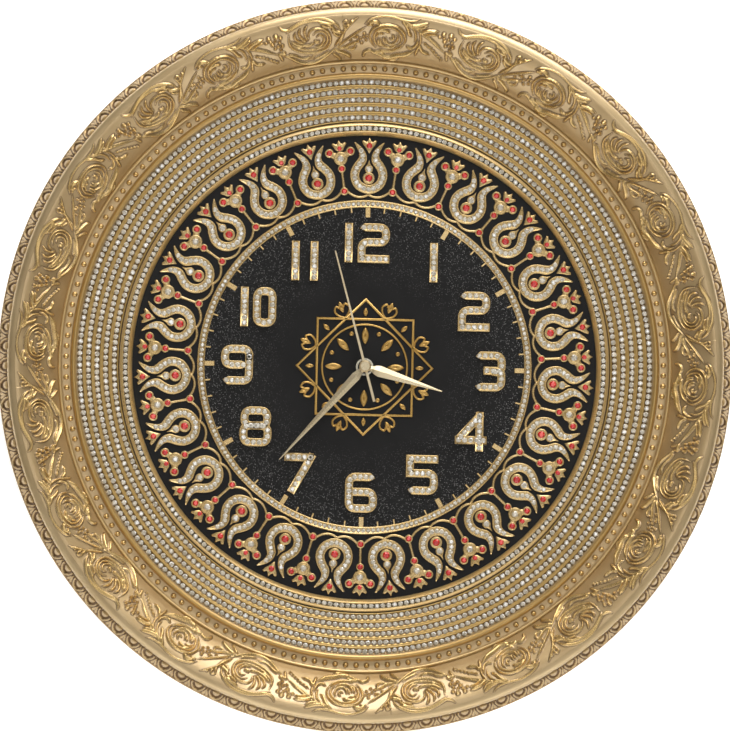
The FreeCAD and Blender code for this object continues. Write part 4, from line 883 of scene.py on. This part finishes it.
def wire_section(height, count=7):
    """A half-round wire: across = cos t, height = height sin t, with its foot below the dial's surface."""
    t = np.linspace(0, math.pi, count)
    return np.concatenate([np.stack([np.cos(t), height * np.sin(t)], -1), [(-1, FOOT), (1, FOOT)]])


def circle(radius, centre=(0, 0), count=20):
    t = round_turn(count)
    return np.stack([centre[0] + radius * np.cos(t), centre[1] + radius * np.sin(t)], -1)


def round_boss(radius, centre, levels, count=20):
    return boss(circle(radius, centre, count), levels, centre)


def mirrored(line):
    """The same line on the other side of the upright axis."""
    return np.asarray(line, float) * [-1, 1]


def both_sides(line, widths, section):
    """A strip to the right of the upright axis and its mirror image."""
    return [strip(line, widths, section), strip(mirrored(line), widths, section)]


def on_dial(body, angles):
    """A flat body (x, z, height) turned to each angle about the hands' axis and stood on the dial."""
    angles = np.atleast_1d(angles)
    return repeated(body, np.tile([0.0, -DIAL_DEPTH, 0.0], (len(angles), 1)), facing_axes(angles))


def above_dial(spots, height):
    """Flat places (x, z) stood at a height above the dial."""
    return np.stack([spots[:, 0], np.full(len(spots), -DIAL_DEPTH - height), spots[:, 1]], -1)


# %% [markdown]
# ## Ring of stones and minute marks
# A narrow ring with two rims holds 211 small stones and divides the figures from the
# band of tulips. The minute marks hang from it: long ones for the hours.

# %% Inner ring and marks
RING_INNER, RING_STONES, RING_STONE_R = 92.1, 211, 94.2
RING_SECTION = np.array([(96.4, FOOT), (96.4, 0.7), (96.1, 1.15), (95.7, 1.2), (95.45, 0.6),
                         (92.95, 0.6), (92.7, 1.2), (92.35, 1.15), (92.05, 0.7), (92.05, FOOT)])

make_piece("inner_ring", turned(RING_SECTION + [0, DIAL_DEPTH], 360), gilt_bright)
ring_places = on_clock(RING_STONE_R, DIAL_DEPTH + 0.7, round_turn(RING_STONES))
set_stones("ring_stones", ring_places, radius=1.24, height=0.6)
set_prongs("ring_prongs", 0.34, (93.1, 95.35), DIAL_DEPTH + 0.75, RING_STONES)


def mark(width, length):
    """A bar from the ring's inner edge towards the middle, with a small chamfer round its top."""
    half, top, bottom = width / 2, RING_INNER + 0.1, RING_INNER - length
    outline = [(half, top), (half, bottom), (-half, bottom), (-half, top)]
    return boss(outline, [(1, -0.2), (1, 0.45), (0.9, 0.65)], (0, (top + bottom) / 2))


minutes = np.arange(60)
hour_marks = on_dial(mark(width=2.8, length=5.6), minutes[::5] * FULL / 60)
minute_marks = on_dial(mark(width=0.9, length=2.9), minutes[minutes % 5 > 0] * FULL / 60)
make_piece("minute_marks", joined([hour_marks, minute_marks]), gilt_bright, smooth=False)

# %% [markdown]
# ## The band of tulips
# Twenty-three tulips stand round the ring, tied together by a vine. One repeat is
# drawn upright at twelve, in millimetres right of its axis and from the clock's
# centre, and then turned to its places. Red stones mark the flowers and the joints.

# %% One repeat of the band
TULIPS = 23
HALF_PITCH = math.pi / TULIPS
SETTING = [(1, FOOT), (1, 0.7), (0.9, 1.0), (0.78, 1.05), (0.66, 0.8), (0.1, 0.75)]
CUSHION = [(1, FOOT), (1, 0.6), (0.88, 0.9), (0.7, 1.05), (0.35, 1.2), (0.05, 1.25)]


def bordered(side, border, middle):
    """The section of a flat band with raised borders: the heights of its sides, borders and middle."""
    half = [(1, FOOT), (1, side), (0.84, border), (0.7, middle)]
    return half + [(-across, height) for across, height in half[::-1]]


def turned_flat(line, angle):
    """A flat line turned clockwise about the clock's centre."""
    line = np.asarray(line, float)
    return np.stack([line[:, 0] * math.cos(angle) + line[:, 1] * math.sin(angle),
                     line[:, 1] * math.cos(angle) - line[:, 0] * math.sin(angle)], -1)


TULIP_HALF = [(0.0, 102.5), (3.3, 103.3), (6.4, 105.6), (8.0, 109.2), (7.9, 112.8), (6.2, 116.2),
              (4.2, 118.9), (3.6, 121.4), (4.3, 124.2), (6.2, 127.0), (8.6, 129.7)]
TULIP_WIDTH, NARROW_FROM = 5.2, 0.62         # of the band, and the share of the way from which it narrows
tulip_right = smooth_line(TULIP_HALF, 30)
tulip_line = np.concatenate([mirrored(tulip_right)[:0:-1], tulip_right])
tulip_way = np.abs(np.linspace(-1, 1, len(tulip_line)))
tulip_width = TULIP_WIDTH * np.clip((1 - tulip_way) / (1 - NARROW_FROM), 0.03, 1) ** 0.62
TEARDROP = smooth_line([(0, 120.0), (0.75, 117.4), (2.3, 115.2), (1.9, 112.9), (0, 112.1)], 12)
PALMETTE = [(0, 4.9), (1.0, 3.0), (1.9, 2.2), (3.4, 3.3), (4.5, 2.6), (3.5, 0.6), (2.3, -1.0),
            (1.0, -3.0), (0, -4.6)]
BUD = [(0, 4.8), (1.0, 3.0), (2.0, 2.4), (3.6, 3.3), (4.4, 2.4), (3.2, 0.6), (2.0, -1.3), (0, -2.0)]
TULIP_STONE, TEARDROP_STONE, PALMETTE_STONE = (0, 109.1), (0, 114.3), (0, 127.9)
KNOT, BUD_STONE, BRANCH_STONE = (0, 121.2), (0, 127.1), (6.1, 124.8)
STEM_STONES = (0, 115.2), (0, 102.1)


def whole(half_line, centre=(0, 0)):
    """A half outline drawn to the right of its axis, closed with its mirror image and moved to a centre."""
    half_line = np.array(half_line, float)
    return np.concatenate([half_line, mirrored(half_line)[-2:0:-1]]) + np.array(centre)


vine = smooth_line([(0.0, 99.6), (2.6, 98.4), (5.6, 98.1), (8.6, 98.9), (11.4, 100.6), (13.6, 102.4)], 16)
branch = [(0, 121.5), (2.0, 122.4), (4.2, 123.6), BRANCH_STONE]
stem = [(0, 101.5), (0, 105), (0, 109), (0, 113), (0, 116), (0, 119)]
tulip = [strip(tulip_line, tulip_width, bordered(0.75, 1.1, 0.85)),
         round_boss(3.5, TULIP_STONE, SETTING),
         boss(whole(TEARDROP), SETTING, (0, 114.6)),
         boss(whole(PALMETTE, PALMETTE_STONE), CUSHION, PALMETTE_STONE),
         *both_sides(vine, 1.5, wire_section(0.9))]
flower = [round_boss(4.0, KNOT, SETTING),
          boss(whole(BUD, (0, 127.2)), CUSHION, (0, 127.2)),
          round_boss(2.6, BRANCH_STONE, SETTING), round_boss(2.6, mirrored(BRANCH_STONE), SETTING),
          *both_sides(branch, [5.5, 4.4, 3.6, 3.0], wire_section(0.95)),
          round_boss(2.3, STEM_STONES[0], SETTING, 16), round_boss(2.4, STEM_STONES[1], SETTING, 16),
          strip(stem, [2.2, 1.6, 1.4, 1.6, 2.6, 3.6], wire_section(0.9))]
tulip_angles = np.arange(TULIPS) * 2 * HALF_PITCH
tulips = make_piece("tulips", on_dial(joined(tulip), tulip_angles), gilt_bright)
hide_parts("tulip_band")
make_piece("flowers", on_dial(joined(flower), tulip_angles + HALF_PITCH), gilt_bright)

# %% Stones of the band
STONES_ON_TULIP, ON_TULIP, IN_SETTING, ON_CUSHION = 21, 0.85, 0.78, 1.15


def way_along(line):
    """Length of the way from a line's start to each of its points."""
    return np.concatenate([[0], np.cumsum(np.linalg.norm(np.diff(line, axis=0), axis=1))])


def along(line, count, first, last):
    """Places at even steps of length along a line, from a first to a last share of it."""
    way = way_along(line)
    at = np.linspace(first, last, count) * way[-1]
    return np.stack([np.interp(at, way, line[:, 0]), np.interp(at, way, line[:, 1])], -1)


def band_places(flat, angles, height):
    """Flat places (x, z) turned to each of the band's angles and stood at a height above the dial."""
    return above_dial(np.concatenate([turned_flat(flat, angle) for angle in angles]), height)


flower_angles = tulip_angles + HALF_PITCH
tulip_spots = along(tulip_line, STONES_ON_TULIP, 0.09, 0.91)
set_stones("tulip_stones", band_places(tulip_spots, tulip_angles, ON_TULIP), radius=1.46, height=0.6)
single_clear = np.concatenate([band_places([TEARDROP_STONE], tulip_angles, IN_SETTING),
                               band_places([KNOT], flower_angles, IN_SETTING)])
set_stones("band_stones_clear", single_clear, radius=1.95, height=0.8)
large_red = band_places([TULIP_STONE], tulip_angles, IN_SETTING)
set_stones("band_stones_large_red", large_red, radius=2.15, height=0.8, red=True)
flower_spots = [BUD_STONE, BRANCH_STONE, mirrored(BRANCH_STONE), *STEM_STONES]
single_red = np.concatenate([band_places([PALMETTE_STONE], tulip_angles, ON_CUSHION),
                             band_places(flower_spots, flower_angles, 0.8)])
set_stones("band_stones_red", single_red, radius=1.75, height=0.7, red=True)

# %% [markdown]
# ## The hour figures
# Each figure is a flat band with a raised border and a row of stones. Its middle line
# is drawn in a box from -1 to 1 both ways, the corners are rounded where the real
# ones are, and the free ends of 2, 3, 5, 6 and 9 run out to a point. The figures
# stand upright, as on the CAD dial, whose plain figures they replace.

# %% Figures
FIGURE_HALF_WIDTH, FIGURE_HALF_HEIGHT, FIGURE_STROKE, FIGURE_R = 6.95, 9.1, 4.7, 71.5
FIGURE_CORNER_R, POINT_LENGTH = 3.6, 2.6
FIGURE_SECTION = bordered(1.75, 2.05, 1.8)
STONE_STEP, STONE_MARGIN, STONE_LIFT = 3.35, 2.1, 1.75


def rounded_way(places, shares, count=6):
    """
    A way through places (x, z), each rounded by a parabola that starts and ends a share of the corner radius
    away and is drawn to nine tenths of the corner; where the share is 0 the corner stays sharp.
    """
    t = np.linspace(0, 1, count)[:, None]
    line = []
    for k, share in enumerate(shares):
        here = places[k]
        if share == 0:
            line.append(here[None])
            continue
        ways = unit(places[[k - 1, (k + 1) % len(places)]] - here)
        start, end = here + ways * FIGURE_CORNER_R * share
        drawn_to = here * 0.9 + (start + end) * 0.05
        line.append((1 - t) ** 2 * start + 2 * t * (1 - t) * drawn_to + t ** 2 * end)
    return np.concatenate(line)


# A way has a kind and its corners (x, z, roundness).
FIGURES = {
    "0": [("loop", (-1, 1, 1), (1, 1, 1), (1, -1, 1), (-1, -1, 1))],
    "1": [("bar", (0, 1.25, 0), (0, -1.25, 0))],
    "2": [("from point", (-1.15, 0.93, 0), (-0.75, 1, 0), (1, 1, 1), (1, 0.06, 1), (-1, 0.06, 1),
           (-1, -1, 0), (1.33, -1, 0))],
    "3": [("from point", (-1.15, 0.93, 0), (-0.75, 1, 0), (1, 1, 1), (1, 0.04, 0.6), (-0.5, 0.04, 0)),
          ("to point", (0.2, -0.02, 0), (1, -0.02, 0.6), (1, -1, 1), (-0.75, -1, 0), (-1.15, -0.93, 0))],
    "4": [("bar", (0.72, 1.25, 0), (0.72, -1.25, 0)), ("bar", (0.86, 1.12, 0), (-1, -0.5, 0)),
          ("bar", (-1.3, -0.55, 0), (1.33, -0.55, 0))],
    "5": [("to point", (1.33, 1, 0), (-1, 1, 0), (-1, 0.1, 0), (1, 0.1, 1), (1, -1, 1), (-0.75, -1, 0),
           (-1.15, -0.93, 0))],
    "6": [("from point", (1.15, 0.93, 0), (0.75, 1, 0), (-1, 1, 1), (-1, -1, 1), (1, -1, 1), (1, 0.05, 1),
           (-0.8, 0.05, 0))],
    "7": [("bar", (-1.33, 1, 0), (1.1, 1, 0)), ("bar", (1.02, 1.2, 0), (-0.75, -1.25, 0))],
    "8": [("loop", (-0.94, 1, 1), (0.94, 1, 1), (0.94, 0.05, 1), (-0.94, 0.05, 1)),
          ("loop", (-1, 0.05, 1), (1, 0.05, 1), (1, -1, 1), (-1, -1, 1))],
    "9": [("to point", (1, 0.3, 0), (1, 1, 1), (-1, 1, 1), (-1, 0.0, 1), (0.85, 0.0, 0)),
          ("to point", (1, 0.75, 0), (1, -1, 1), (-0.75, -1, 0), (-1.15, -0.93, 0))]}
# A figure of two has its sign, its shift to the right and its share of the full width.
TWO_FIGURES = {10: [("1", -8.0, 1.0), ("0", 3.6, 0.64)],
               11: [("1", -5.4, 1.0), ("1", 5.4, 1.0)],
               12: [("1", -10.7, 1.0), ("2", 3.7, 1.0)]}
# The real figures are glued by hand, and some stand a little off their even places.
OFF_PLACE = {1: (2.8, -0.8), 2: (0.5, -2.3), 3: (0.5, -0.9), 5: (-1.4, 0.5), 6: (-0.5, -1.0),
             9: (-2.0, -0.5), 10: (0.0, -2.6), 11: (0.0, -1.5)}


def figure_ways(sign, shift, narrow):
    """The ways of one figure in millimetres: (kind, line)."""
    for kind, *corners in FIGURES[sign]:
        x, z, shares = np.array(corners, float).T
        places = np.stack([x * FIGURE_HALF_WIDTH * narrow + shift, z * FIGURE_HALF_HEIGHT], -1)
        line = rounded_way(places, shares)
        yield kind, dense(line) if "point" in kind else line


def dense(line, step=0.9):
    """The line with points added on its long runs, so that a pointed end has room to narrow."""
    lengths = np.linalg.norm(np.diff(line, axis=0), axis=1)
    parts = [np.linspace(start, end, max(2, int(length / step)))[:-1]
             for start, end, length in zip(line[:-1], line[1:], lengths)]
    return np.concatenate(parts + [line[-1:]])


def figure_width(kind, line):
    """The stroke's width along the line, drawn in to a point at the end that has one."""
    way = way_along(line)
    from_point = {"from point": way, "to point": way[-1] - way}
    if kind not in from_point:
        return FIGURE_STROKE
    return FIGURE_STROKE * np.clip(from_point[kind] / POINT_LENGTH, 0.05, 1)


def figure_spots(kind, line):
    """Places for the stones: all the way round a loop, or else from one margin to the other."""
    if kind == "loop":
        line = np.concatenate([line, line[:1]])
        count = round(way_along(line)[-1] / STONE_STEP)
        return along(line, count, 0.0, 1 - 1 / count)
    length = way_along(line)[-1]
    count = max(2, round((length - 2 * STONE_MARGIN) / STONE_STEP) + 1)
    return along(line, count, STONE_MARGIN / length, 1 - STONE_MARGIN / length)


bodies, spots = [], []
for hour in range(1, 13):
    turn = hour * FULL / 12
    centre = np.array([FIGURE_R * math.sin(turn), FIGURE_R * math.cos(turn)]) + OFF_PLACE.get(hour, (0, 0))
    for sign, shift, narrow in TWO_FIGURES.get(hour, [(str(hour), 0.0, 1.0)]):
        for kind, line in figure_ways(sign, shift, narrow):
            width = figure_width(kind, line)
            bodies.append(strip(line + centre, width, FIGURE_SECTION, ring=kind == "loop"))
            spots.append(figure_spots(kind, line) + centre)
figures = make_piece("figures", on_dial(joined(bodies), 0.0), gilt_bright)
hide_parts("numerals")
set_stones("figure_stones", above_dial(np.concatenate(spots), STONE_LIFT), radius=1.6, height=0.65)

# %% [markdown]
# ## The ornament in the middle
# The middle of the dial carries a light gilt ornament of a common kind: an
# eight-pointed star woven from two squares, a ring, and small leaves. Its lines are
# thin, so that the black shows through and the hands stay easy to read. It could be
# cut from one sheet by booleans; strips and bosses give the same with clean edges.

# %% Star ornament
STAR_R, STRAP_WIDTH, STAR_RING_R, STAR_RING_WIDTH = 39.0, 1.3, 24.5, 1.1
STRAP = [(1, FOOT), (1, 0.7), (0.6, 1.0), (-0.6, 1.0), (-1, 0.7), (-1, FOOT)]
LEAF_LEVELS = [(1, FOOT), (1, 0.5), (0.85, 0.95), (0.55, 1.2), (0.3, 0.95), (0.05, 0.8)]
eighths = round_turn(8)


def square_strap(start):
    """A square of strap work whose first corner points that way."""
    turn = start + round_turn(4)
    corners = np.stack([STAR_R * np.sin(turn), STAR_R * np.cos(turn)], -1)
    return strip(corners, STRAP_WIDTH, STRAP, ring=True)


def leaf(length, width, start, count=14):
    """A pointed leaf on the upright axis from a start outwards: half width = width/2 sin(pi t)^0.8."""
    t = np.linspace(0.02, 0.98, count)
    half = width / 2 * np.sin(math.pi * t) ** 0.8
    right = np.stack([half, start + length * t], -1)
    return boss(np.concatenate([right, mirrored(right)[::-1]]), LEAF_LEVELS, (0, start + length / 2))


curl = smooth_line([(0, 30.5), (3.0, 32.6), (4.4, 35.8), (2.8, 38.2), (1.2, 36.8)], 20)
star = [square_strap(0), square_strap(math.pi / 4),
        strip(circle(STAR_RING_R, count=96), STAR_RING_WIDTH, STRAP, ring=True)]
at_points = [leaf(length=10.0, width=4.0, start=13.0), leaf(length=5.0, width=2.6, start=29.2)]
between_points = [round_boss(1.3, (0, 20.6), LEAF_LEVELS, 14), leaf(length=7.0, width=3.0, start=33.6),
                  *both_sides(curl, 1.3, wire_section(0.9))]
middle = [on_dial(joined(star), 0.0), on_dial(joined(at_points), eighths),
          on_dial(joined(between_points), eighths + math.pi / 8)]
make_piece("star_ornament", joined(middle), gilt_yellow)

# %% [markdown]
# ## Finishes for the working pieces
# Behind the dial sit the case, the wheels, the coil and the cell. They are CAD solids
# whose shape is right, so they only need their materials: moulded plastic with a
# spark-eroded grain, turned and punched metal, wound wire, rubber, printed board.

# %% Plain materials with their grain
COPPER_FROM = 0.0115                         # x in metres at which the sleeve's copper-coloured end begins


def moulded(name, base, other, roughness=0.5, grain=1500.0, depth=0.00003):
    """Moulded plastic: two close tones under slow noise and a fine even grain."""
    material, wire, join = start_finish(name, Specular_IOR_Level=0.45)
    fine = wire.noise(grain, 3.0)
    join("Base Color", wire.noise(55.0).spread().mix(base, other))
    join("Roughness", fine.spread() * 0.14 + (roughness - 0.07))
    join("Normal", fine.bump(0.4, depth))
    return material


def metal(name, base, other, roughness=0.3, stretch=(1, 1, 1), grain=900.0):
    """Metal with rolling marks: noise drawn out one way sets tone, roughness and a slight bump."""
    material, wire, join = start_finish(name, Metallic=1.0)
    marks = wire.noise(grain, 3.0, stretch)
    join("Base Color", (marks.spread() * 0.6).mix(base, other))
    join("Roughness", marks.spread() * 0.16 + (roughness - 0.08))
    join("Normal", marks.bump(0.3, 0.00002))
    return material


def windings(name, base, other, pitch):
    """Fine wire: a sine along X shades each turn."""
    material, wire, join = start_finish(name, Metallic=0.8)
    turns = wire.place().coordinate("X") * (FULL / pitch)
    shade = turns.math("SINE", turns) * 0.5 + 0.5
    join("Base Color", shade.mix(base, other))
    join("Roughness", 0.5 - shade * 0.2)
    join("Normal", shade.bump(0.6, 0.00008))
    return material


def sleeve(name):
    """The cell's printed sleeve: a dark body and a copper-coloured end, with no words on it."""
    material, wire, join = start_finish(name, Metallic=0.6, Coat_Weight=0.5)
    copper_end = wire.place().coordinate("X").spread(COPPER_FROM, COPPER_FROM + 0.0003)
    tone = wire.noise(40.0).spread().mix(colour(34, 36, 42), colour(44, 46, 52))
    join("Base Color", copper_end.mix(tone, colour(188, 122, 70)))
    join("Roughness", wire.noise(1200.0).spread() * 0.1 + 0.24)
    return material


hand_gold = gilt("hand_gold", colour(206, 189, 154), colour(194, 175, 138), roughness=0.3, grain=3200.0,
                 grain_depth=0.00002)
case_black = moulded("case_black", colour(26, 26, 28), colour(36, 36, 38))
gear_white = moulded("gear_white", colour(232, 230, 222), colour(222, 219, 208), roughness=0.42)
rubber = moulded("rubber", colour(30, 30, 30), colour(40, 39, 38), roughness=0.8, grain=2400.0, depth=0.00006)
board_green = moulded("board_green", colour(30, 84, 52), colour(38, 98, 62), roughness=0.45, grain=800.0)
chip_black = moulded("chip_black", colour(18, 18, 20), colour(28, 28, 30), roughness=0.3)
steel = metal("steel", colour(176, 176, 178), colour(150, 150, 152), roughness=0.28)
zinc = metal("zinc", colour(176, 178, 180), colour(140, 144, 150), roughness=0.42, grain=220.0)
nut_silver = metal("nut_silver", colour(192, 186, 168), colour(172, 164, 144), roughness=0.26)
can = metal("can", colour(200, 200, 198), colour(178, 178, 178), roughness=0.2, stretch=(0.1, 1, 1))
magnet_grey = metal("magnet_grey", colour(92, 92, 96), colour(70, 70, 74), roughness=0.45)
contact = metal("contact", colour(210, 208, 200), colour(190, 188, 180), roughness=0.25, stretch=(1, 1, 0.1))
wound_copper = windings("wound_copper", colour(170, 84, 40), colour(214, 132, 74), pitch=0.0001)
cell_sleeve = sleeve("cell_sleeve")

# %% Finishes on the CAD nodes
NODES_WITH = (
    (gilt_back, "frame"),
    (gilt_relief, "scroll_relief"),
    (gilt_bright, "tulip_band numerals"),
    (gilt_plain, "bezel_ring"),
    (dial_black, "dial_plate"),
    (hand_gold, "hour_hand minute_hand seconds_hand seconds_cap"),
    (nut_silver, "fixing_nut"),
    (rubber, "dial_gasket"),
    (case_black, "case_front middle_plate case_rear"),
    (gear_white, "hour_wheel motion_wheel minute_wheel third_wheel seconds_wheel intermediate_wheel"),
    (gear_white, "coil_bobbin setting_knob"),
    (magnet_grey, "rotor"),
    (steel, "stator coil_core hanger_screws"),
    (wound_copper, "coil_winding"),
    (board_green, "circuit_board"),
    (chip_black, "chip"),
    (can, "quartz_crystal"),
    (cell_sleeve, "battery"),
    (contact, "contact_plus contact_minus"),
    (zinc, "hanger_plate"))
finished = set()
for finish, names in NODES_WITH:
    for name in names.split():
        node[name].material_slots[0].material = finish
        finished.add(name)
print("finished CAD nodes", len(finished), "left over", sorted(set(node) - finished))

# %% [markdown]
# ## Stage, light and camera
# The clock hangs on a pale wall above a pale floor. Both are seen from their front
# only, so a view from behind still shows the clock. A broad soft light hangs above
# and a little in front: its reflection on the band's crest is what makes the gilding
# read as metal. Three weak ones lift the shadows, one near the floor and two in
# front. The room is dimmer at the sides, as the real gilding's reflections are there.

# %% Stage
def stage_finish(name, base, glow):
    """A pale surface that camera and mirrors see a little brighter, and that lets rays from behind pass."""
    material, wire, join = start_finish(name, Roughness=0.9, Emission_Color=(1, 1, 1, 1))
    tree = material.node_tree
    straight, glossy, through = (wire.add("LightPath", output=f"Is {kind} Ray")
                                 for kind in ("Camera", "Glossy", "Transmission"))
    seen = straight + glossy + through
    join("Base Color", wire.noise(2.0).spread().mix(base, colour(250, 250, 249)))
    join("Emission Strength", seen.math("MINIMUM", seen, 1.0) * glow)
    shader = Wire(tree, tree.nodes["Principled BSDF"].outputs[0])
    behind = wire.add("NewGeometry", output="Backfacing")
    clear = wire.add("BsdfTransparent")
    mixed = wire.add("MixShader", inputs={0: behind, 1: shader, 2: clear})
    tree.links.new(mixed.socket, tree.nodes["Material Output"].inputs["Surface"])
    return material


def stage_plane(name, near, far, finish):
    """A rectangle across the stage between two edges, each given by its y and z."""
    mesh = bpy.data.meshes.new(name)
    corners = [(-REACH, *near), (REACH, *near), (REACH, *far), (-REACH, *far)]
    mesh.from_pydata(corners, [], [(0, 1, 2, 3)])
    mesh.materials.append(finish)
    plane = bpy.data.objects.new(name, mesh)
    bpy.context.scene.collection.objects.link(plane)


WALL_Y, FLOOR_Z, FLOOR_FRONT_Y, REACH = 0.0006, -1.1, -4.5, 3.0
corner = (WALL_Y, FLOOR_Z)
stage_plane("wall", corner, (WALL_Y, REACH), stage_finish("wall_paint", colour(244, 244, 243), 0.65))
front = (FLOOR_FRONT_Y, FLOOR_Z)
stage_plane("floor", front, corner, stage_finish("floor_paint", colour(240, 240, 238), 0.2))

# %% Lights and world
BAND_CREST, HANDS_AXIS = (0.0, -0.05, 0.0), (0.0, 0.0, 0.0)


def area_light(name, place, aim, size, power):
    """A rectangular lamp at a place, turned to an aim; metres and watts."""
    lamp = bpy.data.lights.new(name, "AREA")
    lamp.shape, lamp.size, lamp.size_y, lamp.energy = "RECTANGLE", size[0], size[1], power
    thing = bpy.data.objects.new(name, lamp)
    thing.location = place
    thing.rotation_euler = (Vector(aim) - Vector(place)).to_track_quat("-Z", "Y").to_euler()
    bpy.context.scene.collection.objects.link(thing)


area_light("overhead", (0.4, -0.3, 1.5), BAND_CREST, (2.2, 1.1), 43.0)
area_light("floor_bounce", (0.0, -0.45, -1.05), BAND_CREST, (2.0, 0.8), 5.0)
area_light("upper_front", (0.45, -1.5, 1.45), HANDS_AXIS, (1.4, 0.8), 6.0)
area_light("front_fill", (0.3, -2.6, 0.5), HANDS_AXIS, (1.6, 1.2), 6.0)

FRONT_GREY, SIDE_GREY = (0.3, 0.3, 0.303, 1), (0.2, 0.2, 0.203, 1)
world = bpy.data.worlds.new("studio")
bpy.context.scene.world = world
world.use_nodes = True
sideways = Wire(world.node_tree).add("TexCoord", output="Generated").coordinate("X")
room = (sideways * sideways).spread(0.08, 0.5).mix(FRONT_GREY, SIDE_GREY)
world.node_tree.links.new(room.socket, world.node_tree.nodes["Background"].inputs["Color"])
bpy.context.scene.view_settings.view_transform = "Standard"

# %% Camera
DISTANCE, SEEN_WIDTH = 3.2, 0.4192
AZIMUTH, ELEVATION, ROLL = math.radians(-2.2), math.radians(-3.2), math.radians(1.27)
camera_data = bpy.data.cameras.new("camera")
camera_data.lens = camera_data.sensor_width * DISTANCE / SEEN_WIDTH
camera = bpy.data.objects.new("camera", camera_data)
target = Vector((-0.00025, -0.034, 0.00015))
level = math.cos(ELEVATION)
back = Vector((math.sin(AZIMUTH) * level, -math.cos(AZIMUTH) * level, math.sin(ELEVATION)))
camera.location = target + back * DISTANCE
turn = (-back).to_track_quat("-Z", "Y").to_matrix()
camera.rotation_euler = (turn @ Matrix.Rotation(ROLL, 3, "Z")).to_euler()
bpy.context.scene.collection.objects.link(camera)
bpy.context.scene.camera = camera
